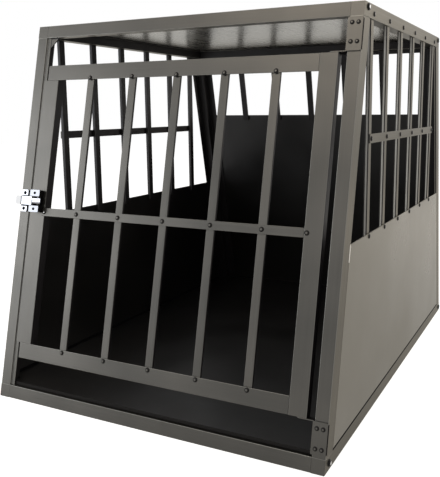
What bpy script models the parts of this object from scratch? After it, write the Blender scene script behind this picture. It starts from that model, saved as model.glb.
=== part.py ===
# Car dog crate: an aluminium frame with slanted ends, lower panels, upper bars,
# a roof, a floor and a barred front door with a snap latch.
# Metres, +Z up. The door faces -Y, and the origin is the middle of the footprint.

import math

import bmesh
import bpy
from mathutils import Vector
from mathutils.geometry import tessellate_polygon

MM = 0.001

# Crate
CRATE_WIDTH = 650 * MM
CRATE_HEIGHT = 695 * MM
FOOTPRINT_DEPTH = 910 * MM
FRONT_SETBACK = 160 * MM  # how far the front's top edge lies behind its bottom edge
REAR_SETBACK = 150 * MM
GAP = 0.3 * MM  # between pieces that touch

# Frame sections
POST_WIDTH = 22 * MM  # seen from the front
POST_DEPTH = 22 * MM
RAIL_HEIGHT = 23 * MM
SECTION_WALL = 2 * MM
RAIL_END = 10 * MM  # solid end of a side rail
FIN_WIDTH = 9 * MM  # fin beside a post, which a panel butts against
LIP_WIDTH = 10 * MM  # lip behind a panel's edge, or under the roof's
LIP_THICKNESS = 2 * MM
LATCH_FIN_WIDTH = 10 * MM  # strip beside the left post that closes the gap to the door
LATCH_FIN_DEPTH = 2.5 * MM  # how far that strip lies behind the post's face
REAR_TOP_FIN = 9 * MM  # fin below the rear top rail, which holds the rear bars

# Panels
WALL_SHEET = 2 * MM
SIDE_PANEL_TOP = 327 * MM
REAR_PANEL_TOP = 519 * MM
PANEL_SEAM = 2 * MM  # dark line between a bottom rail and its panel
ROOF_SHEET = 4 * MM
FLOOR_SHEET = 6 * MM
FLOOR_INSET = 5 * MM  # from the front's and the rear's plane to the floor board's edges

# Bars
BAR_WIDTH = 15 * MM
BAR_THICKNESS = 5 * MM
SIDE_BARS = 6
SIDE_BAR_MARGIN = 42.5 * MM  # from the top rail's ends to the first and last bar
SIDE_BAR_FOOT = 12 * MM  # how far a bar reaches below its panel's top edge
SIDE_BAR_TOP_ROOM = 3 * MM  # above a side bar, inside the top rail
REAR_BARS = 5
REAR_BAR_MARGIN = 94.5 * MM  # from the posts' fins to the first and last bar
MID_RAIL_CENTRE = 484.5 * MM
STRIP_HEIGHT = 15 * MM
STRIP_THICKNESS = 2 * MM

# Rivets and bolts
RIVET_RADIUS = 4.2 * MM
RIVET_HEIGHT = 2 * MM
RIVET_FROM_TOP = 14.5 * MM  # below the top of a side top rail
RIVET_FROM_EDGE = 4.5 * MM  # from the edge of a panel or of a door rail
TOP_RIVET_FROM_EDGE = 2.5 * MM  # from the edge of the door's top rail
BOLT_RADIUS = 5.5 * MM
BOLT_HEIGHT = 3 * MM
BOLT_FROM_TOP = 7.5 * MM
BOLT_FROM_BOTTOM = 11 * MM
FRONT_BOLT_INSET = 18 * MM  # behind the front's plane
REAR_BOLT_INSET = 10 * MM
HEAD_SIDES = 10
HEAD_SINK = 0.4 * MM  # how deep a head's foot sits in its rail

# Door, measured in the front's plane
DOOR_LEFT_GAP = 3.5 * MM  # to the strip beside the left post
DOOR_RIGHT_GAP = 13.5 * MM  # to the right post
DOOR_BOTTOM_GAP = 53.9 * MM  # to the bottom rail
DOOR_TOP_GAP = 54.6 * MM  # to the top rail
STILE_WIDTH = 30 * MM
LEFT_STILE_WIDTH = 26 * MM  # without the part of its face that laps over the strip
STILE_LAP = 10 * MM  # how far that part reaches past the door's left edge
DOOR_DEPTH = 17 * MM
DOOR_SKIN = 2 * MM  # front plate of a door rail, which laps over stile and bars
DOOR_TUBE_WALL = 1.5 * MM
DOOR_RAIL_HEIGHT = 28.5 * MM
DOOR_RAIL_LAP = 9.5 * MM  # part of a door rail's plate beyond its tube
DOOR_BARS = 5
DOOR_BAR_MARGIN = 64.5 * MM  # from the stiles to the first and last bar
DOOR_MID_RISE = 277 * MM  # from the door's bottom edge to the mid rail's middle
MID_SCREW_INSET = 5 * MM  # from the mid rail's left end

# Hinges, measured in the front's plane
PIVOT_INSET = 10.5 * MM  # from the door's right edge to the hinge axis
PIN_RADIUS = 4 * MM
PIN_DEPTH = 12 * MM  # how far a hinge pin reaches into the door
BUSH_LENGTH = 15 * MM
BRACKET_SHEET = 2 * MM
BRACKET_CHEEK = 15 * MM
TONGUE_THICKNESS = 1.5 * MM
TONGUE_REACH = 8 * MM  # beyond the hinge axis
UPPER_PLAY = 0.6 * MM  # between the door's top and the upper tongue
BRACKET_RIVET_RADIUS = 3.6 * MM
BRACKET_RIVET_SPACING = 10 * MM
BRACKET_RIVET_PITCH = 30 * MM
BRACKET_RIVET_INSET = 9 * MM  # from the end of the bracket that lies at a rail
BRACKET_END_ROOM = 1 * MM  # between a bracket and the rail above or below it

# Latch, measured in the front's plane
LATCH_RISE = 19 * MM  # from the middle of the door's mid rail
LATCH_HEIGHT = 42 * MM
LATCH_MID_RAIL_GAP = 0.5 * MM  # between the latch body and the end of the mid rail
LATCH_BODY_WIDTH = 23 * MM
LATCH_BODY_OVERHANG = 3 * MM  # past the door's left edge
LATCH_BODY_TOP = 12 * MM  # above the front's plane
CHANNEL_HEIGHT = 17.6 * MM
CHANNEL_FLOOR = 2 * MM  # above the front's plane
LATCH_PIN_RADIUS = 2 * MM
LATCH_PIN_INSET = 5 * MM  # from the latch body's right side
LATCH_PIN_RISE = 8 * MM  # above the front's plane
BOSS_RADIUS = 4 * MM
ARM_HEIGHT = 9.6 * MM
ARM_THICKNESS = 5 * MM
HEAD_INSET = 12.5 * MM  # from the crate's left side
HEAD_LENGTH = 26 * MM
HEAD_HEIGHT = 17 * MM
HEAD_TOP = 13 * MM  # above the front's plane
HEAD_SHEET = 3 * MM
HEAD_WALL = 2 * MM  # upper and lower walls of the head
HEAD_WALL_DROP = 3 * MM  # how far those walls reach below the head's plate
HOOK_FOOT = 3 * MM  # the head's left wall, its hook, ends this far above the front's plane
HOOK_UNDERCUT = math.radians(7)  # slope on which hook and tooth meet
HOOK_GAP = 0.4 * MM
TAB_THICKNESS = 2 * MM
TAB_HEIGHT = 16 * MM
TAB_REACH = 14 * MM
KEEPER_WIDTH = 15 * MM
KEEPER_INSET = 3 * MM  # from the crate's left side
KEEPER_SHEET = 2 * MM
TOOTH_WIDTH = 5 * MM
TOOTH_HEIGHT = 5.5 * MM
TOOTH_LENGTH = 9 * MM
TOOTH_INSET = 1 * MM  # from the post's right edge
SPRING_RADIUS = 2.8 * MM
SPRING_WIRE = 0.4 * MM
SPRING_TURNS = 2
SPRING_PITCH = 1.25 * MM
SPRING_OUTER_LEG = 2.5 * MM
SPRING_INNER_LEG = 5.2 * MM
SPRING_POINTS = 10
SCREW_INSET = 6 * MM  # from the ends of the latch and its keeper
KEEPER_SCREW_RADIUS = 4 * MM
LATCH_SCREW_RADIUS = 2.6 * MM
LATCH_SCREW_HEIGHT = 1 * MM

# Corner gusset, measured in the front's plane
GUSSET_LEG = 23 * MM

ROUND_SIDES = 24

half_width = CRATE_WIDTH / 2
inner_side = half_width - POST_WIDTH  # inner face of a side rail and of a post
front_angle = math.atan2(FRONT_SETBACK, CRATE_HEIGHT)
rear_angle = math.atan2(REAR_SETBACK, CRATE_HEIGHT)
top_rail_bottom = CRATE_HEIGHT - RAIL_HEIGHT
bar_outer = half_width - WALL_SHEET - GAP  # outer face of a side bar
lip_outer = half_width - WALL_SHEET - GAP
lip_inner = lip_outer - LIP_THICKNESS
post_reach = POST_DEPTH + FIN_WIDTH  # depth of a post with its fin
roof_lip_top = CRATE_HEIGHT - ROOF_SHEET - GAP

# Door and latch in the front's frame: x across, y depth behind the face, z up the slope
door_left = LATCH_FIN_WIDTH - inner_side + DOOR_LEFT_GAP
door_right = inner_side - DOOR_RIGHT_GAP
door_bottom = RAIL_HEIGHT / math.cos(front_angle) + DOOR_BOTTOM_GAP
door_top = top_rail_bottom / math.cos(front_angle) - DOOR_TOP_GAP
mid_rail_centre = door_bottom + DOOR_MID_RISE
pivot_x = door_right - PIVOT_INSET
pivot_y = DOOR_DEPTH / 2
latch_centre = mid_rail_centre + LATCH_RISE
latch_left = door_left - LATCH_BODY_OVERHANG
latch_right = latch_left + LATCH_BODY_WIDTH
lever_x = latch_right - LATCH_PIN_INSET

# Colours and finishes: colour, roughness, metallic
FINISHES = {
    "aluminium": ((0.30, 0.29, 0.26), 0.42, 0.9),
    "wall_board": ((0.32, 0.30, 0.26), 0.5, 0.1),
    "dark_board": ((0.02, 0.02, 0.02), 0.3, 0.0),
    "roof_sheet": ((0.38, 0.37, 0.33), 0.3, 0.9),
    "chrome": ((0.75, 0.75, 0.76), 0.12, 1.0),
    "black_plastic": ((0.02, 0.02, 0.022), 0.45, 0.0),
    "spring_steel": ((0.45, 0.45, 0.46), 0.3, 1.0),
}


def clear_scene():
    for item in list(bpy.data.objects):
        bpy.data.objects.remove(item, do_unlink=True)


def finish(name):
    """The Principled material of that name, made once."""
    material = bpy.data.materials.get(name)
    if material:
        return material
    colour, roughness, metallic = FINISHES[name]
    material = bpy.data.materials.new(name)
    material.use_nodes = True
    shader = material.node_tree.nodes["Principled BSDF"]
    shader.inputs["Base Color"].default_value = (*colour, 1)
    shader.inputs["Roughness"].default_value = roughness
    shader.inputs["Metallic"].default_value = metallic
    return material


def empty(name, location, tilt=0.0, parent=None):
    """An empty tilted about X, as the frame of a slanted face or of a joint."""
    item = bpy.data.objects.new(name, None)
    item.location = location
    item.rotation_euler = (tilt, 0, 0)
    item.parent = parent
    bpy.context.collection.objects.link(item)
    return item


def make_object(name, mesh, material=None, parent=None):
    item = bpy.data.objects.new(name, mesh)
    item.parent = parent
    if material:
        mesh.materials.append(finish(material))
    bpy.context.collection.objects.link(item)
    return item


def section_mesh(name, loops, place):
    """A section swept between two ends; the first loop is its outline, the rest are holes.

    place(a, b, end) gives the point of section point (a, b) at end 0 or 1.
    """
    points = [point for loop in loops for point in loop]
    mesh = bpy.data.meshes.new(name)
    shape = bmesh.new()
    ends = [[shape.verts.new(place(a, b, end)) for a, b in points] for end in (0, 1)]
    start = 0
    for loop in loops:
        count = len(loop)
        for i in range(count):
            j = start + (i + 1) % count
            i += start
            shape.faces.new((ends[0][i], ends[0][j], ends[1][j], ends[1][i]))
        start += count
    flat = [[Vector((a, b, 0)) for a, b in loop] for loop in loops]
    for triangle in tessellate_polygon(flat):
        for end in ends:
            shape.faces.new([end[k] for k in triangle])
    bmesh.ops.recalc_face_normals(shape, faces=shape.faces)
    shape.to_mesh(mesh)
    shape.free()
    return mesh


def rectangle(low_a, high_a, low_b, high_b):
    return [(low_a, low_b), (high_a, low_b), (high_a, high_b), (low_a, high_b)]


def circle(centre_a, centre_b, radius, sides=ROUND_SIDES):
    turns = [2 * math.pi * (k + 0.5) / sides for k in range(sides)]
    return [(centre_a + radius * math.cos(t), centre_b + radius * math.sin(t)) for t in turns]


def mirrored(loops):
    return [[(-a, b) for a, b in loop] for loop in loops]


def upright(low, high):
    """Sweep along Z; low and high are heights, or functions of the section point."""
    def place(a, b, end):
        height = high if end else low
        return (a, b, height(a, b) if callable(height) else height)
    return place


def across(low, high):
    """Sweep a (y, z) section along X."""
    return lambda a, b, end: (high if end else low, a, b)


def lengthwise(low, high):
    """Sweep an (x, z) section along Y; low and high may depend on the height."""
    def place(a, b, end):
        reach = high if end else low
        return (a, reach(b) if callable(reach) else reach, b)
    return place


def piece(name, loops, place, material, parent=None):
    return make_object(name, section_mesh(name, loops, place), material, parent)


def box_piece(name, x, y, z, material, parent=None):
    """A plain bar or sheet between the pairs x, y and z."""
    return piece(name, [rectangle(*x, *y)], upright(*z), material, parent)


def combine(item, other, operation):
    """Adds other to item, or cuts it away, as a live Boolean."""
    other.hide_render = True
    other.display_type = "WIRE"
    modifier = item.modifiers.new(other.name, "BOOLEAN")
    modifier.operation = operation
    modifier.solver = "EXACT"
    modifier.object = other


def add_box(item, name, x, y, z):
    tool = make_object(name, section_mesh(name, [rectangle(*x, *y)], upright(*z)), parent=item.parent)
    combine(item, tool, "UNION")


def cut_box(item, name, x, y, z):
    tool = make_object(name, section_mesh(name, [rectangle(*x, *y)], upright(*z)), parent=item.parent)
    combine(item, tool, "DIFFERENCE")


def add_heads(item, centres, outward, radius=RIVET_RADIUS, height=RIVET_HEIGHT, label="heads"):
    """Domed rivet or screw heads that stand on a face, joined to the piece that they fasten."""
    outward = Vector(outward).normalized()
    side = outward.orthogonal().normalized()
    other = outward.cross(side)
    name = item.name + "_" + label
    mesh = bpy.data.meshes.new(name)
    shape = bmesh.new()
    rings = ((radius, -HEAD_SINK), (radius, 0.15 * height), (0.72 * radius, 0.72 * height))
    for centre in centres:
        made = []
        for ring_radius, rise in rings:
            ring = []
            for k in range(HEAD_SIDES):
                turn = 2 * math.pi * k / HEAD_SIDES
                spoke = side * math.cos(turn) + other * math.sin(turn)
                ring.append(shape.verts.new(Vector(centre) + spoke * ring_radius + outward * rise))
            made.append(ring)
        top = shape.verts.new(Vector(centre) + outward * height)
        for low, high in zip(made, made[1:]):
            for k in range(HEAD_SIDES):
                m = (k + 1) % HEAD_SIDES
                shape.faces.new((low[k], low[m], high[m], high[k]))
        for k in range(HEAD_SIDES):
            shape.faces.new((made[-1][k], made[-1][(k + 1) % HEAD_SIDES], top))
        shape.faces.new(list(reversed(made[0])))
    bmesh.ops.recalc_face_normals(shape, faces=shape.faces)
    shape.to_mesh(mesh)
    shape.free()
    combine(item, make_object(name, mesh, parent=item.parent), "UNION")


def front_face(z):
    """y of the frame's front face at height z."""
    return -FOOTPRINT_DEPTH / 2 + z * math.tan(front_angle)


def rear_face(z):
    return FOOTPRINT_DEPTH / 2 - z * math.tan(rear_angle)


def front_inside(z, depth):
    """y at that depth behind the front face, measured square to it."""
    return front_face(z) + depth / math.cos(front_angle)


def rear_inside(z, depth):
    return rear_face(z) - depth / math.cos(rear_angle)


def front_cut(height):
    """Level cut through a piece in the front's frame, whose y is the depth behind the face."""
    return lambda a, b: (height + b * math.sin(front_angle)) / math.cos(front_angle)


def rear_cut(height):
    """Level cut through a piece in the rear's frame, whose y points out of the crate."""
    return lambda a, b: (height - b * math.sin(rear_angle)) / math.cos(rear_angle)


def bar_places(count, low, high, margin):
    """Middles of bars spread evenly between two edges, with a margin at each end."""
    first = low + margin + BAR_WIDTH / 2
    last = high - margin - BAR_WIDTH / 2
    return [first + (last - first) * i / (count - 1) for i in range(count)]


def side_bar_places():
    return bar_places(SIDE_BARS, front_face(CRATE_HEIGHT), rear_face(CRATE_HEIGHT), SIDE_BAR_MARGIN)


def rear_bar_places():
    fin = inner_side - FIN_WIDTH
    return bar_places(REAR_BARS, -fin, fin, REAR_BAR_MARGIN)


def build_side_rails(side, sign):
    """Bottom and top rail of one side wall: channels with solid ends, open below."""
    outline = [rectangle(min(sign * inner_side, sign * half_width),
                         max(sign * inner_side, sign * half_width), 0, RAIL_HEIGHT)]
    cavity_x = sorted((sign * (inner_side + SECTION_WALL), sign * (half_width - SECTION_WALL)))
    lip_x = sorted((sign * (inner_side - LIP_WIDTH), sign * (inner_side + SECTION_WALL / 2)))
    strip_x = sorted((sign * lip_inner, sign * lip_outer))

    bottom = piece("bottom_rail_" + side, outline, lengthwise(front_face, rear_face), "aluminium")
    cavity_y = (front_inside(RAIL_HEIGHT, 0) + RAIL_END, rear_inside(RAIL_HEIGHT, 0) - RAIL_END)
    cut_box(bottom, bottom.name + "_channel", cavity_x, cavity_y,
            (-RAIL_HEIGHT, RAIL_HEIGHT - SECTION_WALL))
    strip_top = RAIL_HEIGHT + LIP_WIDTH
    strip_y = (front_inside(strip_top, post_reach + LIP_WIDTH) + GAP,
               rear_inside(strip_top, post_reach + LIP_WIDTH) - GAP)
    add_box(bottom, bottom.name + "_panel_lip", strip_x, strip_y,
            (RAIL_HEIGHT - SECTION_WALL / 2, strip_top))

    top_loops = [[(a, b + top_rail_bottom) for a, b in outline[0]]]
    top = piece("top_rail_" + side, top_loops, lengthwise(front_face, rear_face), "aluminium")
    cavity_y = (front_inside(CRATE_HEIGHT, 0) + RAIL_END, rear_inside(CRATE_HEIGHT, 0) - RAIL_END)
    cut_box(top, top.name + "_channel", cavity_x, cavity_y,
            (top_rail_bottom - RAIL_HEIGHT, CRATE_HEIGHT - SECTION_WALL))
    lip_y = (front_inside(roof_lip_top, POST_DEPTH) + LIP_WIDTH + GAP,
             rear_inside(roof_lip_top, POST_DEPTH) - LIP_WIDTH - GAP)
    add_box(top, top.name + "_roof_lip", lip_x, lip_y, (roof_lip_top - LIP_THICKNESS, roof_lip_top))
    rivet_height = CRATE_HEIGHT - RIVET_FROM_TOP
    add_heads(top, [(sign * half_width, y, rivet_height) for y in side_bar_places()], (sign, 0, 0))

    for rail, level in ((bottom, BOLT_FROM_BOTTOM), (top, CRATE_HEIGHT - BOLT_FROM_TOP)):
        ends = (front_inside(level, FRONT_BOLT_INSET), rear_inside(level, REAR_BOLT_INSET))
        add_heads(rail, [(sign * half_width, y, level) for y in ends], (sign, 0, 0),
                  BOLT_RADIUS, BOLT_HEIGHT, "bolts")


def build_cross_rails():
    """Front and rear rails between the side rails: slanted tubes, the top ones with a lip for the roof."""
    reach = inner_side - GAP
    wall = SECTION_WALL
    back = POST_DEPTH
    lip_low = roof_lip_top - LIP_THICKNESS
    for end, inside, inward in (("front", front_inside, 1), ("rear", rear_inside, -1)):
        for level, low in (("bottom", 0), ("top", top_rail_bottom)):
            high = low + RAIL_HEIGHT
            outline = [(inside(low, 0), low)]
            if (end, level) == ("rear", "top"):
                fin_low = low - REAR_TOP_FIN
                outline = [(inside(fin_low, 0), fin_low), (inside(fin_low, WALL_SHEET), fin_low),
                           (inside(low, WALL_SHEET), low)]
            outline += [(inside(low, back), low)]
            if level == "top":
                lip_end = inside(roof_lip_top, back) + inward * LIP_WIDTH
                outline += [(inside(lip_low, back), lip_low), (lip_end, lip_low), (lip_end, roof_lip_top),
                            (inside(roof_lip_top, back), roof_lip_top)]
            outline += [(inside(high, back), high), (inside(high, 0), high)]
            hole = [(inside(low + wall, wall), low + wall), (inside(low + wall, back - wall), low + wall),
                    (inside(high - wall, back - wall), high - wall), (inside(high - wall, wall), high - wall)]
            piece(f"{end}_{level}_rail", [outline, hole], across(-reach, reach), "aluminium")

    top = bpy.data.objects["rear_top_rail"]
    fin_low = top_rail_bottom - REAR_TOP_FIN
    fin_reach = inner_side - FIN_WIDTH - GAP
    past = (rear_inside(top_rail_bottom, 2 * POST_DEPTH), rear_inside(fin_low, -POST_DEPTH))
    for side, sign in (("left", -1), ("right", 1)):
        ends = sorted((sign * fin_reach, sign * half_width))
        cut_box(top, "rear_fin_end_" + side, ends, past, (fin_low - RAIL_HEIGHT, top_rail_bottom))
    level = (fin_low + top_rail_bottom) / 2
    outward = (0, math.cos(rear_angle), math.sin(rear_angle))
    add_heads(top, [(x, rear_face(level), level) for x in rear_bar_places()], outward)

    bottom = bpy.data.objects["rear_bottom_rail"]
    low = RAIL_HEIGHT - SECTION_WALL / 2
    high = RAIL_HEIGHT + LIP_WIDTH
    near = WALL_SHEET + GAP
    lip = [(rear_inside(low, near), low), (rear_inside(low, near + LIP_THICKNESS), low),
           (rear_inside(high, near + LIP_THICKNESS), high), (rear_inside(high, near), high)]
    lip_reach = inner_side - FIN_WIDTH - LIP_WIDTH - GAP
    name = "rear_bottom_rail_lip"
    combine(bottom, make_object(name, section_mesh(name, [lip], across(-lip_reach, lip_reach))), "UNION")


def post_section(extra=()):
    """Right-hand post: a tube with a fin along the side wall and a lip behind the panel."""
    outline = [(inner_side, 0), (half_width, 0), (half_width, post_reach), (lip_outer, post_reach),
               (lip_outer, post_reach + LIP_WIDTH), (lip_inner, post_reach + LIP_WIDTH),
               (lip_inner, POST_DEPTH), (inner_side, POST_DEPTH)]
    outline += extra
    hole = rectangle(inner_side + SECTION_WALL, half_width - SECTION_WALL,
                     SECTION_WALL, POST_DEPTH - SECTION_WALL)
    return [outline, hole]


def build_posts(front_frame, rear_frame):
    low = RAIL_HEIGHT + GAP
    high = top_rail_bottom - GAP
    ends = upright(front_cut(low), front_cut(high))
    piece("front_right_post", post_section(), ends, "aluminium", front_frame)
    fin_x = inner_side - LATCH_FIN_WIDTH
    latch_fin = [(inner_side, LATCH_FIN_DEPTH + LIP_THICKNESS), (fin_x, LATCH_FIN_DEPTH + LIP_THICKNESS),
                 (fin_x, LATCH_FIN_DEPTH), (inner_side, LATCH_FIN_DEPTH)]
    piece("front_left_post", mirrored(post_section(latch_fin)), ends, "aluminium", front_frame)

    near = WALL_SHEET + GAP
    deep = near + LIP_THICKNESS
    fin_x = inner_side - FIN_WIDTH
    lip_x = fin_x - LIP_WIDTH
    rear_fin = [(inner_side, deep), (lip_x, deep), (lip_x, near), (fin_x, near), (fin_x, 0)]
    loops = post_section(rear_fin)
    outward = [[(a, -b) for a, b in loop] for loop in loops]
    ends = upright(rear_cut(low), rear_cut(high))
    piece("rear_right_post", outward, ends, "aluminium", rear_frame)
    piece("rear_left_post", mirrored(outward), ends, "aluminium", rear_frame)


def build_side_wall(side, sign):
    """Lower panel, bars and mid rail of one side."""
    sheet_x = sorted((sign * (half_width - WALL_SHEET), sign * half_width))
    low = RAIL_HEIGHT + PANEL_SEAM
    reach = post_reach + GAP
    outline = [(front_inside(low, reach), low), (rear_inside(low, reach), low),
               (rear_inside(SIDE_PANEL_TOP, reach), SIDE_PANEL_TOP),
               (front_inside(SIDE_PANEL_TOP, reach), SIDE_PANEL_TOP)]
    panel = piece(side + "_wall_panel", [outline], across(*sheet_x), "wall_board")
    rivet_height = SIDE_PANEL_TOP - RIVET_FROM_EDGE
    add_heads(panel, [(sign * half_width, y, rivet_height) for y in side_bar_places()], (sign, 0, 0))

    bar_x = sorted((sign * bar_outer, sign * (bar_outer - BAR_THICKNESS)))
    bar_z = (SIDE_PANEL_TOP - SIDE_BAR_FOOT, CRATE_HEIGHT - SECTION_WALL - SIDE_BAR_TOP_ROOM)
    for i, y in enumerate(side_bar_places()):
        box_piece(f"{side}_bar_{i + 1}", bar_x, (y - BAR_WIDTH / 2, y + BAR_WIDTH / 2), bar_z, "aluminium")

    strip_x = sorted((sign * (bar_outer + GAP), sign * (bar_outer + GAP + STRIP_THICKNESS)))
    places = side_bar_places()
    rail = box_piece("mid_rail_" + side, strip_x, (places[0] - BAR_WIDTH / 2, places[-1] + BAR_WIDTH / 2),
                     (MID_RAIL_CENTRE - STRIP_HEIGHT / 2, MID_RAIL_CENTRE + STRIP_HEIGHT / 2), "aluminium")
    add_heads(rail, [(max(strip_x, key=abs), y, MID_RAIL_CENTRE) for y in places], (sign, 0, 0))


def build_rear_wall(rear_frame):
    """Rear panel and bars, in the rear's frame."""
    reach = inner_side - FIN_WIDTH - GAP
    low = rear_cut(RAIL_HEIGHT + PANEL_SEAM)
    high = rear_cut(REAR_PANEL_TOP)
    panel = piece("rear_wall_panel", [rectangle(-reach, reach, -WALL_SHEET, 0)], upright(low, high),
                  "wall_board", rear_frame)
    rivet_height = high(0, 0) - RIVET_FROM_EDGE
    places = rear_bar_places()
    add_heads(panel, [(x, 0, rivet_height) for x in places], (0, 1, 0))
    outer = -WALL_SHEET - GAP
    top = rear_cut(top_rail_bottom - GAP)(0, outer)
    for i, x in enumerate(places):
        box_piece(f"rear_bar_{i + 1}", (x - BAR_WIDTH / 2, x + BAR_WIDTH / 2), (outer - BAR_THICKNESS, outer),
                  (high(0, 0) - SIDE_BAR_FOOT, top), "aluminium", rear_frame)


def build_roof_and_floor():
    reach = inner_side - GAP
    roof_y = (front_inside(CRATE_HEIGHT, POST_DEPTH) + GAP, rear_inside(CRATE_HEIGHT, POST_DEPTH) - GAP)
    box_piece("roof_panel", (-reach, reach), roof_y, (CRATE_HEIGHT - ROOF_SHEET, CRATE_HEIGHT), "roof_sheet")

    low = RAIL_HEIGHT + GAP
    high = low + FLOOR_SHEET
    wide = lip_inner - GAP
    narrow = inner_side - BRACKET_SHEET - 2 * GAP  # clears the posts and the lower hinge's bracket
    front, rear = front_inside(high, FLOOR_INSET), rear_inside(high, FLOOR_INSET)
    near, far = front_inside(high, POST_DEPTH) + GAP, rear_inside(high, POST_DEPTH) - GAP
    outline = [(-narrow, front), (narrow, front), (narrow, near), (wide, near), (wide, far), (narrow, far),
               (narrow, rear), (-narrow, rear), (-narrow, far), (-wide, far), (-wide, near), (-narrow, near)]
    piece("floor_panel", [outline], upright(low, high), "dark_board")


def build_gusset(front_frame):
    """Triangle in the upper left corner of the front, between the post's strip and the top rail."""
    corner_x = -(inner_side - LATCH_FIN_WIDTH) + GAP
    corner_z = front_cut(top_rail_bottom)(0, LATCH_FIN_DEPTH) - GAP
    outline = [(corner_x, corner_z), (corner_x + GUSSET_LEG, corner_z), (corner_x, corner_z - GUSSET_LEG)]
    depth = (LATCH_FIN_DEPTH, LATCH_FIN_DEPTH + LIP_THICKNESS)
    piece("corner_gusset", [outline], lambda a, b, end: (a, depth[end], b), "aluminium", front_frame)


def build_door(door_frame):
    """Door pieces in the hinge's frame, whose origin is the hinge axis at floor level."""
    left = door_left - pivot_x
    right = door_right - pivot_x
    face = -pivot_y
    skin = face + DOOR_SKIN
    back = face + DOOR_DEPTH
    behind_skin = skin + GAP
    wall = DOOR_TUBE_WALL
    tube_height = DOOR_RAIL_HEIGHT - DOOR_RAIL_LAP

    stile_x = (right - STILE_WIDTH, right)
    loops = [rectangle(*stile_x, face, back),
             rectangle(stile_x[0] + wall, stile_x[1] - wall, face + wall, back - wall)]
    ends = upright(door_bottom, door_top)
    right_stile = piece("door_right_stile", loops, ends, "aluminium", door_frame)
    add_heads(right_stile, [(stile_x[0] + RIVET_FROM_EDGE, face, mid_rail_centre)], (0, -1, 0))

    stile_z = (door_bottom + tube_height + GAP, door_top - tube_height - GAP)
    lap_left = left - STILE_LAP
    tube_right = left + LEFT_STILE_WIDTH
    loops = [[(lap_left, face), (tube_right, face), (tube_right, back), (left, back), (left, skin), (lap_left, skin)],
             rectangle(left + wall, tube_right - wall, behind_skin + wall, back - wall)]
    left_stile = piece("door_left_stile", loops, upright(*stile_z), "aluminium", door_frame)
    lapped_x = (lap_left - wall, tube_right + wall)
    rebate_y = (face - wall, behind_skin)
    cut_box(left_stile, "stile_under_bottom_rail", lapped_x, rebate_y,
            (door_bottom, door_bottom + DOOR_RAIL_HEIGHT + GAP))
    cut_box(left_stile, "stile_under_top_rail", lapped_x, rebate_y, (door_top - DOOR_RAIL_HEIGHT - GAP, door_top))
    mid_left = latch_right + LATCH_MID_RAIL_GAP - pivot_x
    half_strip = STRIP_HEIGHT / 2 + GAP
    cut_box(left_stile, "stile_under_mid_rail", (mid_left - GAP, tube_right + wall), rebate_y,
            (mid_rail_centre - half_strip, mid_rail_centre + half_strip))

    rail_end = stile_x[0] - GAP
    bar_x = bar_places(DOOR_BARS, left + STILE_WIDTH, right - STILE_WIDTH, DOOR_BAR_MARGIN)
    for name, edge, way, rivet_inset in (("door_top_rail", door_top, -1, TOP_RIVET_FROM_EDGE),
                                         ("door_bottom_rail", door_bottom, 1, RIVET_FROM_EDGE)):
        tube = edge + way * tube_height
        lap = edge + way * DOOR_RAIL_HEIGHT
        outline = [(face, edge), (back, edge), (back, tube), (skin, tube), (skin, lap), (face, lap)]
        hole = [(skin, edge + way * wall), (back - wall, edge + way * wall),
                (back - wall, tube - way * wall), (skin, tube - way * wall)]
        rail = piece(name, [outline, hole], across(left, rail_end), "aluminium", door_frame)
        add_heads(rail, [(x, face, lap - way * rivet_inset) for x in bar_x], (0, -1, 0))

    strip = (mid_left, rail_end)
    mid = box_piece("door_mid_rail", strip, (face, face + STRIP_THICKNESS),
                    (mid_rail_centre - STRIP_HEIGHT / 2, mid_rail_centre + STRIP_HEIGHT / 2),
                    "aluminium", door_frame)
    add_heads(mid, [(x, face, mid_rail_centre) for x in bar_x + [strip[0] + MID_SCREW_INSET]], (0, -1, 0))

    for i, x in enumerate(bar_x):
        box_piece(f"door_bar_{i + 1}", (x - BAR_WIDTH / 2, x + BAR_WIDTH / 2),
                  (behind_skin, behind_skin + BAR_THICKNESS), stile_z, "aluminium", door_frame)

    bush_x = (stile_x[0] + wall + GAP, stile_x[1] - wall - GAP)
    bush_y = (face + wall + GAP, back - wall - GAP)
    loops = [rectangle(*bush_x, *bush_y), circle(0, 0, PIN_RADIUS + GAP)]
    for name, ends in (("upper_hinge_bush", (door_top - BUSH_LENGTH, door_top)),
                       ("lower_hinge_bush", (door_bottom, door_bottom + BUSH_LENGTH))):
        piece(name, loops, upright(*ends), "black_plastic", door_frame)


def lathe_piece(name, profile, material, parent):
    """A turned piece about Z from (radius, height) points, closed on the axis at both ends."""
    mesh = bpy.data.meshes.new(name)
    shape = bmesh.new()
    rings = []
    for radius, height in profile:
        rings.append([shape.verts.new((a, b, height)) for a, b in circle(0, 0, radius)])
    for low, high in zip(rings, rings[1:]):
        for k in range(ROUND_SIDES):
            m = (k + 1) % ROUND_SIDES
            shape.faces.new((low[k], low[m], high[m], high[k]))
    shape.faces.new(rings[0])
    shape.faces.new(rings[-1])
    bmesh.ops.recalc_face_normals(shape, faces=shape.faces)
    shape.to_mesh(mesh)
    shape.free()
    mesh.shade_smooth()
    mesh.set_sharp_from_angle(angle=math.radians(40))
    return make_object(name, mesh, material, parent)


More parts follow.
